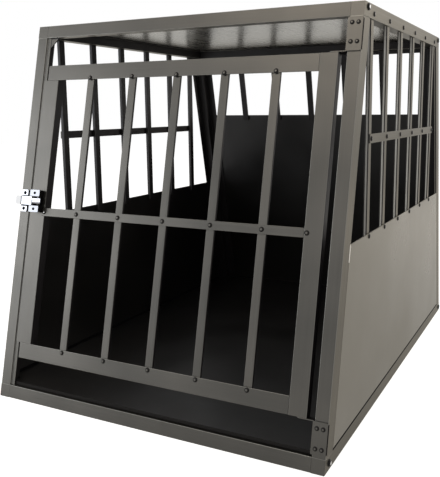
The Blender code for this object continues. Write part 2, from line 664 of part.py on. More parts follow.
def build_hinges(door_frame):
    """Brackets on the right post and their pins, in the hinge's frame but fixed to the crate."""
    plate_x = (inner_side - GAP - BRACKET_SHEET - pivot_x, half_width - pivot_x)
    cheek_right = inner_side - GAP - pivot_x
    front = -pivot_y - GAP - BRACKET_SHEET
    plate_back = -pivot_y - GAP
    cheek_back = -pivot_y + BRACKET_CHEEK
    section = [(plate_x[0], front), (plate_x[1], front), (plate_x[1], plate_back), (cheek_right, plate_back),
               (cheek_right, cheek_back), (plate_x[0], cheek_back)]
    tongue_radius = TONGUE_REACH
    arc = [math.pi / 2 + math.pi * k / 8 for k in range(9)]
    rounded = [(tongue_radius * math.cos(t), tongue_radius * math.sin(t)) for t in arc]
    tongue = [[(cheek_right, tongue_radius)] + rounded + [(cheek_right, -tongue_radius)],
              circle(0, 0, PIN_RADIUS + GAP)]

    corner_top = front_cut(top_rail_bottom)(0, 0) - BRACKET_END_ROOM
    corner_bottom = front_cut(RAIL_HEIGHT)(0, BRACKET_CHEEK) + BRACKET_END_ROOM
    rivet_x = (plate_x[0] + plate_x[1]) / 2
    for name, seat, way, corner in (("upper_hinge", door_top + UPPER_PLAY, 1, corner_top),
                                    ("lower_hinge", door_bottom - GAP, -1, corner_bottom)):
        ends = sorted((seat, corner))
        bracket = piece(name + "_bracket", [section], upright(*ends), "aluminium", door_frame)
        tongue_z = sorted((seat, seat + way * TONGUE_THICKNESS))
        tool = make_object(name + "_tongue", section_mesh(name + "_tongue", tongue, upright(*tongue_z)),
                           parent=door_frame)
        combine(bracket, tool, "UNION")
        first = corner - way * BRACKET_RIVET_INSET
        heads = [(rivet_x + BRACKET_RIVET_SPACING * k, front, first - way * BRACKET_RIVET_PITCH * m)
                 for k in (-0.5, 0.5) for m in (0, 1)]
        add_heads(bracket, heads, (0, -1, 0), BRACKET_RIVET_RADIUS)
        profile = [(PIN_RADIUS, seat - way * PIN_DEPTH), (PIN_RADIUS, seat + way * TONGUE_THICKNESS)]
        lathe_piece(name + "_pin", profile, "aluminium", door_frame)


def build_keeper(front_frame):
    """Plate on the left post with the undercut tooth that the lever hooks behind."""
    low = latch_centre - LATCH_HEIGHT / 2
    high = latch_centre + LATCH_HEIGHT / 2
    left = -half_width + KEEPER_INSET
    right = left + KEEPER_WIDTH
    face = -GAP - KEEPER_SHEET
    keeper = box_piece("latch_keeper", (left, right), (face, -GAP), (low, high), "chrome", front_frame)
    tooth_right = -inner_side - TOOTH_INSET
    tooth_left = tooth_right - TOOTH_WIDTH
    tooth_top = face - TOOTH_HEIGHT
    slope = math.tan(HOOK_UNDERCUT)
    section = [(tooth_left, tooth_top), (tooth_right, tooth_top), (tooth_right, -GAP),
               (tooth_left - TOOTH_WIDTH, -GAP), (tooth_left - TOOTH_WIDTH, face),
               (tooth_left + TOOTH_HEIGHT * slope, face)]
    ends = upright(latch_centre - TOOTH_LENGTH / 2, latch_centre + TOOTH_LENGTH / 2)
    name = "latch_keeper_tooth"
    combine(keeper, make_object(name, section_mesh(name, [section], ends), parent=front_frame), "UNION")
    heads = [((left + right) / 2, face, z) for z in (low + SCREW_INSET, high - SCREW_INSET)]
    add_heads(keeper, heads, (0, -1, 0), KEEPER_SCREW_RADIUS, LATCH_SCREW_HEIGHT)


def build_latch_body(lever_frame):
    """Block on the door with a channel for the lever, its pin and its spring."""
    left = latch_left - lever_x
    right = latch_right - lever_x
    top = LATCH_PIN_RISE - LATCH_BODY_TOP
    half = LATCH_HEIGHT / 2
    loops = [rectangle(left, right, top, LATCH_PIN_RISE - GAP),
             circle(0, 0, LATCH_PIN_RADIUS + GAP)]
    body = piece("latch_body", loops, upright(-half, half), "chrome", lever_frame)
    cut_box(body, "latch_body_channel", (left - LATCH_BODY_WIDTH, right + LATCH_BODY_WIDTH),
            (top - LATCH_BODY_TOP, LATCH_PIN_RISE - CHANNEL_FLOOR), (-CHANNEL_HEIGHT / 2, CHANNEL_HEIGHT / 2))
    heads = [((left + right) / 2, top, z) for z in (SCREW_INSET - half, half - SCREW_INSET)]
    add_heads(body, heads, (0, -1, 0), LATCH_SCREW_RADIUS, LATCH_SCREW_HEIGHT)
    lathe_piece("latch_pin", [(LATCH_PIN_RADIUS, GAP - half), (LATCH_PIN_RADIUS, half - GAP)],
                "chrome", lever_frame)


def build_lever(lever_frame):
    """Lever on the pin: an arm, and a head with a hook and a finger tab at its left end."""
    half_arm = ARM_HEIGHT / 2
    half_head = HEAD_HEIGHT / 2
    left = HEAD_INSET - half_width - lever_x
    right = left + HEAD_LENGTH
    top = LATCH_PIN_RISE - HEAD_TOP
    under = top + HEAD_SHEET
    inside = under - HEAD_SHEET / 2
    boss = [circle(0, 0, BOSS_RADIUS), circle(0, 0, LATCH_PIN_RADIUS + GAP)]
    lever = piece("latch_lever", boss, upright(-half_arm, half_arm), "chrome", lever_frame)
    arm = ((left + right) / 2, -LATCH_PIN_RADIUS - 2 * GAP)
    add_box(lever, "lever_arm", arm, (inside, inside + ARM_THICKNESS), (-half_arm, half_arm))
    add_box(lever, "lever_head", (left, right), (top, under), (-half_head, half_head))
    wall = (inside, under + HEAD_WALL_DROP)
    add_box(lever, "lever_upper_wall", (left, right), wall, (half_head - HEAD_WALL, half_head))
    add_box(lever, "lever_lower_wall", (left, right), wall, (-half_head, HEAD_WALL - half_head))
    add_box(lever, "lever_tab", (left, left + TAB_THICKNESS), (top - TAB_REACH, under - HEAD_SHEET / 2),
            (-TAB_HEIGHT / 2, TAB_HEIGHT / 2))

    tooth_left = -inner_side - TOOTH_INSET - TOOTH_WIDTH - lever_x
    tooth_top = LATCH_PIN_RISE - GAP - KEEPER_SHEET - TOOTH_HEIGHT
    foot = LATCH_PIN_RISE - HOOK_FOOT
    nose = tooth_left - HOOK_GAP + (foot - tooth_top) * math.tan(HOOK_UNDERCUT)
    section = [(left, inside), (tooth_left - HOOK_GAP, inside), (tooth_left - HOOK_GAP, tooth_top),
               (nose, foot), (left, foot)]
    mesh = section_mesh("lever_hook", [section], upright(-half_head, half_head))
    combine(lever, make_object("lever_hook", mesh, parent=lever_frame), "UNION")


def build_spring(lever_frame):
    """Coil on the pin above the lever, with a leg at each end, that holds the hook down."""
    wire = bpy.data.curves.new("latch_spring", "CURVE")
    wire.dimensions = "3D"
    wire.bevel_depth = SPRING_WIRE
    wire.bevel_resolution = 1
    wire.use_fill_caps = True
    start = ARM_HEIGHT / 2 + GAP + SPRING_WIRE
    points = [(SPRING_RADIUS, -SPRING_OUTER_LEG, start)]
    for k in range(SPRING_TURNS * SPRING_POINTS + 1):
        turn = 2 * math.pi * k / SPRING_POINTS
        height = start + SPRING_PITCH * k / SPRING_POINTS
        points.append((SPRING_RADIUS * math.cos(turn), SPRING_RADIUS * math.sin(turn), height))
    points.append((SPRING_RADIUS, SPRING_INNER_LEG, points[-1][2]))
    spline = wire.splines.new("POLY")
    spline.points.add(len(points) - 1)
    for place, point in zip(spline.points, points):
        place.co = (*point, 1)
    make_object("latch_spring", wire, "spring_steel", lever_frame)


def build_latch(front_frame, door_frame):
    """Keeper on the post, and the latch on the door in a frame on the lever's axis."""
    build_keeper(front_frame)
    place = (lever_x - pivot_x, -LATCH_PIN_RISE - pivot_y, latch_centre)
    lever_frame = empty("latch_lever_axis", place, parent=door_frame)
    build_latch_body(lever_frame)
    build_lever(lever_frame)
    build_spring(lever_frame)


def main():
    clear_scene()
    front_frame = empty("front_frame", (0, -FOOTPRINT_DEPTH / 2, 0), -front_angle)
    rear_frame = empty("rear_frame", (0, FOOTPRINT_DEPTH / 2, 0), rear_angle)
    door_frame = empty("door_hinge_axis", (pivot_x, pivot_y, 0), parent=front_frame)
    for side, sign in (("left", -1), ("right", 1)):
        build_side_rails(side, sign)
        build_side_wall(side, sign)
    build_cross_rails()
    build_posts(front_frame, rear_frame)
    build_rear_wall(rear_frame)
    build_roof_and_floor()
    build_gusset(front_frame)
    build_door(door_frame)
    build_hinges(door_frame)
    build_latch(front_frame, door_frame)


main()
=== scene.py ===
import math

import bmesh
import bpy
from mathutils import Matrix, Vector
from mathutils.geometry import tessellate_polygon


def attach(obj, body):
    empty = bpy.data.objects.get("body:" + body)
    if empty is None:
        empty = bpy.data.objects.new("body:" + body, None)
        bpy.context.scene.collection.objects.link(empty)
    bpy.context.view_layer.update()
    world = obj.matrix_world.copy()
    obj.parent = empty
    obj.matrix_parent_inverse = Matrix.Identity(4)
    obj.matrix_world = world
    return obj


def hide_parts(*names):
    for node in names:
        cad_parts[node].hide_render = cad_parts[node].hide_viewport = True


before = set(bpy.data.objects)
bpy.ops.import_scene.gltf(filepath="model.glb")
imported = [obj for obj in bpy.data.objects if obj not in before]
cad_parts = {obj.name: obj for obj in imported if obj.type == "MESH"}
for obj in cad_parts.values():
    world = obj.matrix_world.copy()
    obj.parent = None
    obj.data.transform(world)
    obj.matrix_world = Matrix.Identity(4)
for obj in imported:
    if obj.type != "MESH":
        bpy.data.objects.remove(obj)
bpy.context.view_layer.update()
print("frame loaded:", len(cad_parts), "nodes")

mm = 0.001
gap = 0.3 * mm  # between pieces that touch
hair = 0.05 * mm  # keeps two faces of joined shapes out of one plane
past = 1 * mm  # how far a cutting shape reaches beyond what it cuts
bite = 0.5 * mm  # how deep a joined shape reaches into the other one
speck = 0.02 * mm  # too small to show

crate = {
    "width": 650 * mm,
    "height": 695 * mm,
    "depth": 910 * mm,
    "frontSetback": 160 * mm,  # how far the front's top edge lies behind its bottom edge
    "rearSetback": 150 * mm,
}
tube = {
    "width": 22 * mm,
    "depth": 22 * mm,
    "height": 23 * mm,
    "wall": 2 * mm,
    "corner": 0.9 * mm,  # radius on an extrusion's edges
    "solidEnd": 10 * mm,
    "fin": 9 * mm,  # beside a post, where a board butts against it
    "lip": 10 * mm,
    "lipThickness": 2 * mm,
    "latchFin": 8 * mm,  # strip beside the left post that closes the gap to the door
    "latchFinDepth": 2.5 * mm,
    "rearTopFin": 9 * mm,
}
boards = {
    "sheet": 2 * mm,
    "sideTop": 327 * mm,
    "rearTop": 519 * mm,
    "seam": 2 * mm,
    "sideSeam": 2.9 * mm,  # opened a little, so that the black line of painted shade on its step shows
    "seamInset": 0.05 * mm,
    "seamFoot": 0.8 * mm,
    "highlightSpotWidth": 1.4 * mm,  # of the painted highlight: bare white metal at the right board's front corner
    "highlightSpotLength": 27 * mm,
    "roof": 4 * mm,
    "floor": 6 * mm,
    "floorInset": 5 * mm,  # from the front's and the rear's plane
    "edge": 0.4 * mm,
}
bars = {
    "width": 15 * mm,
    "thickness": 5 * mm,
    "sideThickness": 7 * mm,
    "corner": 0.8 * mm,
    "highlightLow": 1.1 * mm,  # half of the painted highlight strip on a side bar's narrow edge
    "highlightHigh": 1.9 * mm,
    "sideCount": 6,
    "sideMargin": 42.5 * mm,
    "foot": 12 * mm,  # how far a bar reaches below its board's top edge
    "topRoom": 3 * mm,
    "rearCount": 5,
    "rearMargin": 94.5 * mm,
    "doorCount": 5,
    "doorMargin": 64.5 * mm,
    "toneSeed": 7,
}
midRail = {"centre": 484.5 * mm, "height": 15 * mm, "thickness": 2 * mm, "corner": 1.5 * mm, "edge": 0.3 * mm}
door = {
    "leftGap": 5.5 * mm,
    "rightGap": 13.5 * mm,
    "bottomGap": 53.9 * mm,
    "topGap": 54.6 * mm,
    "stile": 30 * mm,
    "leftStile": 26 * mm,
    "stileLap": 10 * mm,  # how far the left stile's face reaches past the door's left edge
    "depth": 17 * mm,
    "skin": 2 * mm,
    "wall": 1.5 * mm,
    "railHeight": 28.5 * mm,
    "railLap": 9.5 * mm,
    "midRise": 277 * mm,
    "corner": 0.7 * mm,
    "pivotInset": 10.5 * mm,
    "screwInset": 5 * mm,  # from the mid rail's left end
}

halfWidth = crate["width"] / 2
innerSide = halfWidth - tube["width"]
frontAngle = math.atan2(crate["frontSetback"], crate["height"])
rearAngle = math.atan2(crate["rearSetback"], crate["height"])
topRailBottom = crate["height"] - tube["height"]
boardBack = halfWidth - boards["sheet"] - gap  # outer face of what stands behind a board
lipInner = boardBack - tube["lipThickness"]
postReach = tube["depth"] + tube["fin"]
rearFin = innerSide - tube["fin"]
roofLipTop = crate["height"] - boards["roof"] - gap

doorLeft = tube["latchFin"] - innerSide + door["leftGap"]
doorRight = innerSide - door["rightGap"]
doorBottom = tube["height"] / math.cos(frontAngle) + door["bottomGap"]
doorTop = topRailBottom / math.cos(frontAngle) - door["topGap"]
midRailCentre = doorBottom + door["midRise"]
pivot = (doorRight - door["pivotInset"], door["depth"] / 2)

# Frames: in the front's, x runs across, y is the depth behind its face and z goes up the slope
frontFrame = Matrix.Translation((0, -crate["depth"] / 2, 0)) @ Matrix.Rotation(-frontAngle, 4, "X")
rearFrame = Matrix.Translation((0, crate["depth"] / 2, 0)) @ Matrix.Rotation(rearAngle, 4, "X")
levelFrame = Matrix.Identity(4)
outOfFront = frontFrame.to_3x3() @ Vector((0, -1, 0))


def toLinear(hexText):
    shares = [int(hexText[i:i + 2], 16) / 255 for i in (0, 2, 4)]
    return tuple(s / 12.92 if s <= 0.04045 else ((s + 0.055) / 1.055) ** 2.4 for s in shares) + (1,)


def addNode(tree, kind, links=None, out=0, **settings):
    # links holds a value or an output for each input, by its name or number. The node's output
    # named by out comes back, or all of them for None.
    node = tree.nodes.new(kind)
    for name, value in settings.items():
        setattr(node, name, value)
    for name, value in (links or {}).items():
        if isinstance(value, bpy.types.NodeSocket):
            tree.links.new(value, node.inputs[name])
        else:
            node.inputs[name].default_value = value
    return node.outputs if out is None else node.outputs[out]


def newMaterial(name):
    material = bpy.data.materials.new(name)
    material.use_nodes = True
    material.node_tree.nodes.clear()
    return material, material.node_tree


def endMaterial(material, links):
    shader = addNode(material.node_tree, "ShaderNodeBsdfPrincipled", links)
    addNode(material.node_tree, "ShaderNodeOutputMaterial", {"Surface": shader}, out=None)
    return material


def drifting(tree, look, detail, place=None):
    # Colour, and roughness where the look gives a range, drift in soft clouds of a real size
    place = place or addNode(tree, "ShaderNodeTexCoord", out="Object")
    cloud = addNode(tree, "ShaderNodeTexNoise", {"Vector": place, "Scale": 1 / look["cloudSize"], "Detail": detail})
    colour = addNode(tree, "ShaderNodeMix", {0: cloud, 6: toLinear(look["dark"]), 7: toLinear(look["light"])},
                     2, data_type="RGBA")
    rough = look["roughness"]
    if isinstance(rough, tuple):
        rough = addNode(tree, "ShaderNodeMapRange", {"Value": cloud, "From Min": 0.3, "From Max": 0.7,
                                                     "To Min": rough[0], "To Max": rough[1]})
    return colour, rough


def makeExtruded(name, look):
    # Anodised aluminium, extruded: satin grey metal with die lines along its length, which draw
    # its highlights out. Real die lines are 0.1 to 0.5 mm apart; these are coarser, so that they show.
    material, tree = newMaterial(name)
    grain = addNode(tree, "ShaderNodeAttribute", out="Vector", attribute_name="grain")
    tone, wear = [addNode(tree, "ShaderNodeAttribute", out="Fac", attribute_name=attribute)
                  for attribute in ("tone", "wear")]
    shift = addNode(tree, "ShaderNodeVectorMath", {0: (0.31, 0.17, 0.53), "Scale": tone}, operation="SCALE")
    place = addNode(tree, "ShaderNodeVectorMath", {0: grain, 1: shift}, operation="ADD")
    across, along = 1 / look["lineSpacing"], 1 / look["lineLength"]
    stretched = addNode(tree, "ShaderNodeVectorMath", {0: place, 1: (across, across, along)}, operation="MULTIPLY")
    lines = addNode(tree, "ShaderNodeTexNoise", {"Vector": stretched, "Scale": 1, "Detail": 3, "Roughness": 0.55})
    broad = addNode(tree, "ShaderNodeTexNoise", {"Vector": place, "Scale": 1 / look["cloudSize"], "Detail": 2})
    mixed = addNode(tree, "ShaderNodeMix", {0: 0.72, 2: lines, 3: broad})  # mostly the broad clouds
    level = addNode(tree, "ShaderNodeMapRange", {"Value": mixed, "From Min": 0.3, "From Max": 0.7})
    toned = addNode(tree, "ShaderNodeMath", {0: tone, 1: 0.25, 2: level}, operation="MULTIPLY_ADD")  # bar by bar
    colour = addNode(tree, "ShaderNodeMix", {0: toned, 6: toLinear(look["dark"]), 7: toLinear(look["light"])},
                     2, data_type="RGBA")
    worn = addNode(tree, "ShaderNodeMath", {0: wear, 1: look["edgeWear"]}, operation="MULTIPLY")
    edged = addNode(tree, "ShaderNodeMix", {0: worn, 6: colour, 7: toLinear(look["bare"])}, 2, data_type="RGBA")
    low, high = look["roughness"]
    rough = addNode(tree, "ShaderNodeMapRange", {"Value": lines, "From Min": 0.3, "From Max": 0.7,
                                                 "To Min": low, "To Max": high})
    bump = addNode(tree, "ShaderNodeBump", {"Strength": 0.12, "Distance": look["lineDepth"], "Height": lines})
    return endMaterial(material, {"Base Color": edged, "Roughness": rough, "Metallic": 1.0,
                                  "Specular Tint": toLinear(look["grazing"]), "Normal": bump})


def makeCoatedSheet(name, look):
    # Sheet with a satin baked coat: an even warm grey with a faint orange peel, and a soft sheen
    # that brightens towards grazing angles. A strip at one corner is a painted highlight of bare white metal.
    material, tree = newMaterial(name)
    place = addNode(tree, "ShaderNodeTexCoord", out="Object")
    colour, rough = drifting(tree, look, 3, place)
    peel = addNode(tree, "ShaderNodeTexNoise", {"Vector": place, "Scale": 1 / look["peelSize"], "Detail": 2})
    bump = addNode(tree, "ShaderNodeBump", {"Strength": 0.3, "Distance": look["peelDepth"], "Height": peel})
    x, y, z = addNode(tree, "ShaderNodeSeparateXYZ", {0: place}, out=None)
    edgeY = addNode(tree, "ShaderNodeMath", {0: z, 1: look["edgeSlope"], 2: look["edgeStart"]},
                    operation="MULTIPLY_ADD")
    # mask of the painted highlight strip along the front edge's top, on the right board
    near, high, right = [addNode(tree, "ShaderNodeMath", {0: value, 1: limit}, operation=test)
                         for value, limit, test in ((y, edgeY, "LESS_THAN"), (z, look["highlightSpotLow"], "GREATER_THAN"),
                                                    (x, 0.0, "GREATER_THAN"))]
    highlightSpot = addNode(tree, "ShaderNodeMath", {0: near, 1: high}, operation="MULTIPLY")
    highlightSpot = addNode(tree, "ShaderNodeMath", {0: highlightSpot, 1: right}, operation="MULTIPLY")
    shown = addNode(tree, "ShaderNodeMix", {0: highlightSpot, 6: colour, 7: toLinear(look["bare"])}, 2, data_type="RGBA")
    metal = addNode(tree, "ShaderNodeMath", {0: highlightSpot, 1: look["metallic"]}, operation="MAXIMUM")
    return endMaterial(material, {"Base Color": shown, "Roughness": rough, "Metallic": metal,
                                  "Specular IOR Level": look["specular"], "Specular Tint": toLinear(look["tint"]),
                                  "Normal": bump})


def makeBlackFilm(name, look):
    # Board faced with black phenolic film, and the near-black that stands as painted shade on faces turned away
    # from the light and in gaps: near-black and smooth, with a faint cloudy sheen.
    material, tree = newMaterial(name)
    colour, rough = drifting(tree, look, 4)
    return endMaterial(material, {"Base Color": colour, "Roughness": rough, "Specular IOR Level": look["specular"]})


def makePolished(name, look):
    # Plated, blackened or drawn metal: one even colour with a fine cloud in its gloss, as polishing leaves.
    material, tree = newMaterial(name)
    colour, rough = drifting(tree, look, 3)
    return endMaterial(material, {"Base Color": colour, "Roughness": rough, "Metallic": look["metallic"]})


def makeEdgeShadeAndHighlight(name, look):
    # Narrow edge of a bar: painted shade along its corners and a painted highlight of bare metal along the middle
    material, tree = newMaterial(name)
    grain = addNode(tree, "ShaderNodeAttribute", out="Vector", attribute_name="grain")
    y = addNode(tree, "ShaderNodeSeparateXYZ", {0: grain}, out="Y")
    reach = addNode(tree, "ShaderNodeMath", {0: y}, operation="ABSOLUTE")
    stretch = (1, 1, 4 * look["cloudSize"])  # long clouds along the bar
    stretched = addNode(tree, "ShaderNodeVectorMath", {0: grain, 1: stretch}, operation="MULTIPLY")
    metal, rough = drifting(tree, look, 2, stretched)
    bare = addNode(tree, "ShaderNodeMapRange",
                   {"Value": reach, "From Min": look["highlightLow"], "From Max": look["highlightHigh"],
                    "To Min": 1.0, "To Max": 0.0}, interpolation_type="SMOOTHSTEP")
    colour = addNode(tree, "ShaderNodeMix", {0: bare, 6: toLinear(look["coat"]), 7: metal}, 2, data_type="RGBA")
    return endMaterial(material, {"Base Color": colour, "Roughness": rough, "Metallic": bare,
                                  "Specular IOR Level": look["specular"]})


def makeHighlightedHead(name, look):
    # Blackened fastener head with a painted highlight in the middle: a dark ring around a lighter, glossier core
    material, tree = newMaterial(name)
    core = addNode(tree, "ShaderNodeAttribute", out="Fac", attribute_name="core")
    dark, rough = drifting(tree, look, 2)
    highlighted = addNode(tree, "ShaderNodeMapRange", {"Value": core, "From Min": 0.3, "From Max": 0.8},
                     interpolation_type="SMOOTHSTEP")
    colour = addNode(tree, "ShaderNodeMix", {0: highlighted, 6: dark, 7: toLinear(look["core"])}, 2, data_type="RGBA")
    return endMaterial(material, {"Base Color": colour, "Roughness": rough, "Metallic": highlighted,
                                  "Specular IOR Level": look["specular"]})


frameAluminium = makeExtruded("frameAluminium", {
    "dark": "4a4946", "light": "585652", "bare": "8f8e88", "edgeWear": 0.6, "roughness": (0.34, 0.42),
    "grazing": "f6f2ea", "lineSpacing": 2 * mm, "lineLength": 400 * mm, "cloudSize": 140 * mm, "lineDepth": 0.02 * mm})
roofSheet = makeExtruded("roofSheet", {
    "dark": "a3a097", "light": "b0ada3", "bare": "b4b2ac", "edgeWear": 0.2, "roughness": (0.258, 0.282),
    "grazing": "ffffff", "lineSpacing": 12 * mm, "lineLength": 600 * mm, "cloudSize": 220 * mm,
    "lineDepth": 0.0002 * mm})
coatedSheet = makeCoatedSheet("coatedSheet", {
    "dark": "403d32", "light": "474438", "roughness": (0.26, 0.34), "specular": 0.95, "tint": "fff4e0",
    "cloudSize": 200 * mm, "peelSize": 1.6 * mm, "peelDepth": 0.012 * mm, "metallic": 0.1, "bare": "f4f4f2",
    "edgeSlope": math.tan(frontAngle), "highlightSpotLow": boards["sideTop"] - boards["highlightSpotLength"],
    "edgeStart": (postReach + gap) / math.cos(frontAngle) - crate["depth"] / 2 + boards["highlightSpotWidth"]})
filmFacedBoard = makeBlackFilm("filmFacedBoard", {
    "dark": "0d0c0b", "light": "151312", "roughness": (0.31, 0.44), "specular": 0.42, "cloudSize": 120 * mm})
# flat black for sealed board edges and screw heads, also painted shade in gaps, recesses and on right-facing faces
sealedEdge = makeBlackFilm("sealedEdge", {
    "dark": "0d0c0c", "light": "131212", "roughness": (0.75, 0.88), "specular": 0.05, "cloudSize": 20 * mm})
boardEdge = makeBlackFilm("boardEdge", {
    "dark": "1d1c1b", "light": "272524", "roughness": (0.65, 0.78), "specular": 0.1, "cloudSize": 60 * mm})
# painted shade: near-black for faces of rails, posts, bars and brackets turned away from the light
blackCoat = makeBlackFilm("blackCoat", {
    "dark": "151314", "light": "1e1b1c", "roughness": (0.4, 0.53), "specular": 0.25, "cloudSize": 60 * mm})
rubbedEdge = makeEdgeShadeAndHighlight("rubbedEdge", {
    "coat": "171516", "dark": "a3a19b", "light": "b5b3ad", "roughness": 0.4, "specular": 0.2, "cloudSize": 6 * mm,
    "highlightLow": bars["highlightLow"], "highlightHigh": bars["highlightHigh"]})
chromePlate = makePolished("chromePlate", {
    "dark": "8c8d90", "light": "98999c", "roughness": (0.112, 0.208), "metallic": 1.0, "cloudSize": 9 * mm})
# a darker copy of the chrome: painted shade for the grey reflections on the latch body's lobes
castZinc = makePolished("castZinc", {
    "dark": "5c5d60", "light": "8a8b8e", "roughness": (0.14, 0.26), "metallic": 1.0, "cloudSize": 3 * mm})
# a lighter copy of the chrome: painted light, so that the finger tab shows near white
tabChrome = makePolished("tabChrome", {
    "dark": "e8e9eb", "light": "f2f3f4", "roughness": (0.084, 0.156), "metallic": 1.0, "cloudSize": 9 * mm})
blackenedSteel = makePolished("blackenedSteel", {
    "dark": "2a2927", "light": "3b3936", "roughness": (0.238, 0.442), "metallic": 0.8, "cloudSize": 3 * mm})
mouldedNylon = makePolished("mouldedNylon", {
    "dark": "1c1c1d", "light": "232324", "roughness": (0.35, 0.65), "metallic": 0.0, "cloudSize": 6 * mm})
drawnSteel = makePolished("drawnSteel", {
    "dark": "a3a3a5", "light": "b4b4b6", "roughness": (0.175, 0.325), "metallic": 1.0, "cloudSize": 4 * mm})
rivetSteel = makeHighlightedHead("rivetSteel", {
    "dark": "1b1a1a", "light": "262524", "core": "53514d", "roughness": 0.4, "specular": 0.1, "cloudSize": 3 * mm})
boltSteel = makeHighlightedHead("boltSteel", {
    "dark": "161515", "light": "201f1e", "core": "d8d7d4", "roughness": 0.25, "specular": 0.15, "cloudSize": 3 * mm})
print("materials made")


def rectangle(lowA, highA, lowB, highB):
    return [(lowA, lowB), (highA, lowB), (highA, highB), (lowA, highB)]


def mirrored(loops):
    return [[(-a, b) for a, b in loop] for loop in loops]


def around(middle, size):
    return middle - size / 2, middle + size / 2


def onSide(sign, near, far):
    # A range in x on the left, with sign -1, or the right
    return sorted((sign * near, sign * far))


def arcPoints(centre, radius, start, end, steps):
    turns = [start + (end - start) * k / steps for k in range(steps + 1)]
    return [(centre[0] + radius * math.cos(t), centre[1] + radius * math.sin(t)) for t in turns]


def circle(centre, radius, count):
    return arcPoints(centre, radius, 0, 2 * math.pi * (count - 1) / count, count - 1)


def roundedLoop(points, radius, steps):
    # Each point comes with its share of edge wear, full in the middle of a rounded corner
    rounded = []
    for i, point in enumerate(points):
        corner = Vector(point)
        toBefore = Vector(points[i - 1]) - corner
        toAfter = Vector(points[(i + 1) % len(points)]) - corner
        half = toBefore.angle(toAfter) / 2
        most = 0.45  # of a side may be rounded away at each of its ends
        reach = min(radius / math.tan(half), most * toBefore.length, most * toAfter.length)
        if reach < speck:
            rounded.append((corner.x, corner.y, 0))
            continue
        middle = (toBefore.normalized() + toAfter.normalized()).normalized()
        centre = corner + middle * (reach / math.cos(half))
        first = corner + toBefore.normalized() * reach - centre
        last = corner + toAfter.normalized() * reach - centre
        start = math.atan2(first.y, first.x)
        swing = (math.atan2(last.y, last.x) - start + math.pi) % (2 * math.pi) - math.pi
        for k in range(steps + 1):
            turn = start + swing * k / steps
            rounded.append((centre.x + first.length * math.cos(turn), centre.y + first.length * math.sin(turn),
                            4 * k * (steps - k) / steps ** 2))
    return rounded


def toMesh(shape, name):
    bmesh.ops.recalc_face_normals(shape, faces=shape.faces)
    mesh = bpy.data.meshes.new(name)
    shape.to_mesh(mesh)
    shape.free()
    return mesh


def sweep(loops, place, corner=0, steps=3, edgeWear=1):
    # A section swept between two ends: its first loop is the outline, the others are holes
    loops = [roundedLoop(loop, corner, steps) if corner else [(a, b, 0) for a, b in loop] for loop in loops]
    shape = bmesh.new()
    wear = shape.verts.layers.float.new("wear")
    ends = [[], []]
    for end in (0, 1):
        for a, b, worn in (point for loop in loops for point in loop):
            vert = shape.verts.new(place(a, b, end))
            vert[wear] = edgeWear * worn
            ends[end].append(vert)
    start = 0
    for loop in loops:
        for i in range(len(loop)):
            j = start + (i + 1) % len(loop)
            shape.faces.new((ends[0][start + i], ends[0][j], ends[1][j], ends[1][start + i]))
        start += len(loop)
    for triangle in tessellate_polygon([[Vector((a, b, 0)) for a, b, worn in loop] for loop in loops]):
        for end in ends:
            shape.faces.new([end[k] for k in triangle])
    return toMesh(shape, "section")


def upright(low, high):
    def place(a, b, end):
        height = (low, high)[end]
        return (a, b, height(a, b) if callable(height) else height)
    return place


def across(low, high):
    return lambda a, b, end: ((low, high)[end], a, b)


def facing(low, high):
    # A plate whose outline is drawn in x and z, between two depths
    return lambda a, b, end: (a, (low, high)[end], b)


def boxMesh(x, y, z):
    return sweep([rectangle(*x, *y)], upright(*z))


def frontFace(z):
    return -crate["depth"] / 2 + z * math.tan(frontAngle)


def rearFace(z):
    return crate["depth"] / 2 - z * math.tan(rearAngle)


def lengthwise(a, b, end):
    # From the front's face to the rear's
    return (a, (frontFace, rearFace)[end](b), b)


def frontInside(z, depth):
    return frontFace(z) + depth / math.cos(frontAngle)


def rearInside(z, depth):
    return rearFace(z) - depth / math.cos(rearAngle)


def depthRange(z, depth, room=0):
    return frontInside(z, depth) + room, rearInside(z, depth) - room


def frontCut(height):
    return lambda a, b: (height + b * math.sin(frontAngle)) / math.cos(frontAngle)


def rearCut(height):
    return lambda a, b: (height - b * math.sin(rearAngle)) / math.cos(rearAngle)


def barPlaces(count, low, high, margin):
    first = low + margin + bars["width"] / 2
    last = high - margin - bars["width"] / 2
    return [first + (last - first) * i / (count - 1) for i in range(count)]


sidePlaces = barPlaces(bars["sideCount"], frontFace(crate["height"]), rearFace(crate["height"]), bars["sideMargin"])
rearPlaces = barPlaces(bars["rearCount"], -rearFin, rearFin, bars["rearMargin"])
doorPlaces = barPlaces(bars["doorCount"], doorLeft + door["stile"], doorRight - door["stile"], bars["doorMargin"])


bevelAngle = math.radians(50)  # edges that turn more than this are rounded
sharpAngle = math.radians(32)  # and those that turn more than this keep a line in the shading
headSharpAngle = math.radians(48)


def applied(item):
    # The object with its modifiers made real
    graph = bpy.context.evaluated_depsgraph_get()
    mesh = bpy.data.meshes.new_from_object(item.evaluated_get(graph), preserve_all_data_layers=True, depsgraph=graph)
    item.modifiers.clear()
    item.data = mesh
    mesh.name = item.name
    return item


def makeItem(name, mesh):
    item = bpy.data.objects.new(name, mesh)
    bpy.context.scene.collection.objects.link(item)
    return item


def carve(item, cuts=(), joins=()):
    # Takes the meshes in cuts away from item and adds those in joins
    tools = []
    for operation, meshes in (("DIFFERENCE", cuts), ("UNION", joins)):
        for mesh in meshes:
            tools.append(makeItem(item.name + "Tool", mesh))
            modifier = item.modifiers.new(operation, "BOOLEAN")
            modifier.operation = operation
            modifier.solver = "EXACT"
            modifier.object = tools[-1]
    applied(item)
    for tool in tools:
        bpy.data.objects.remove(tool)


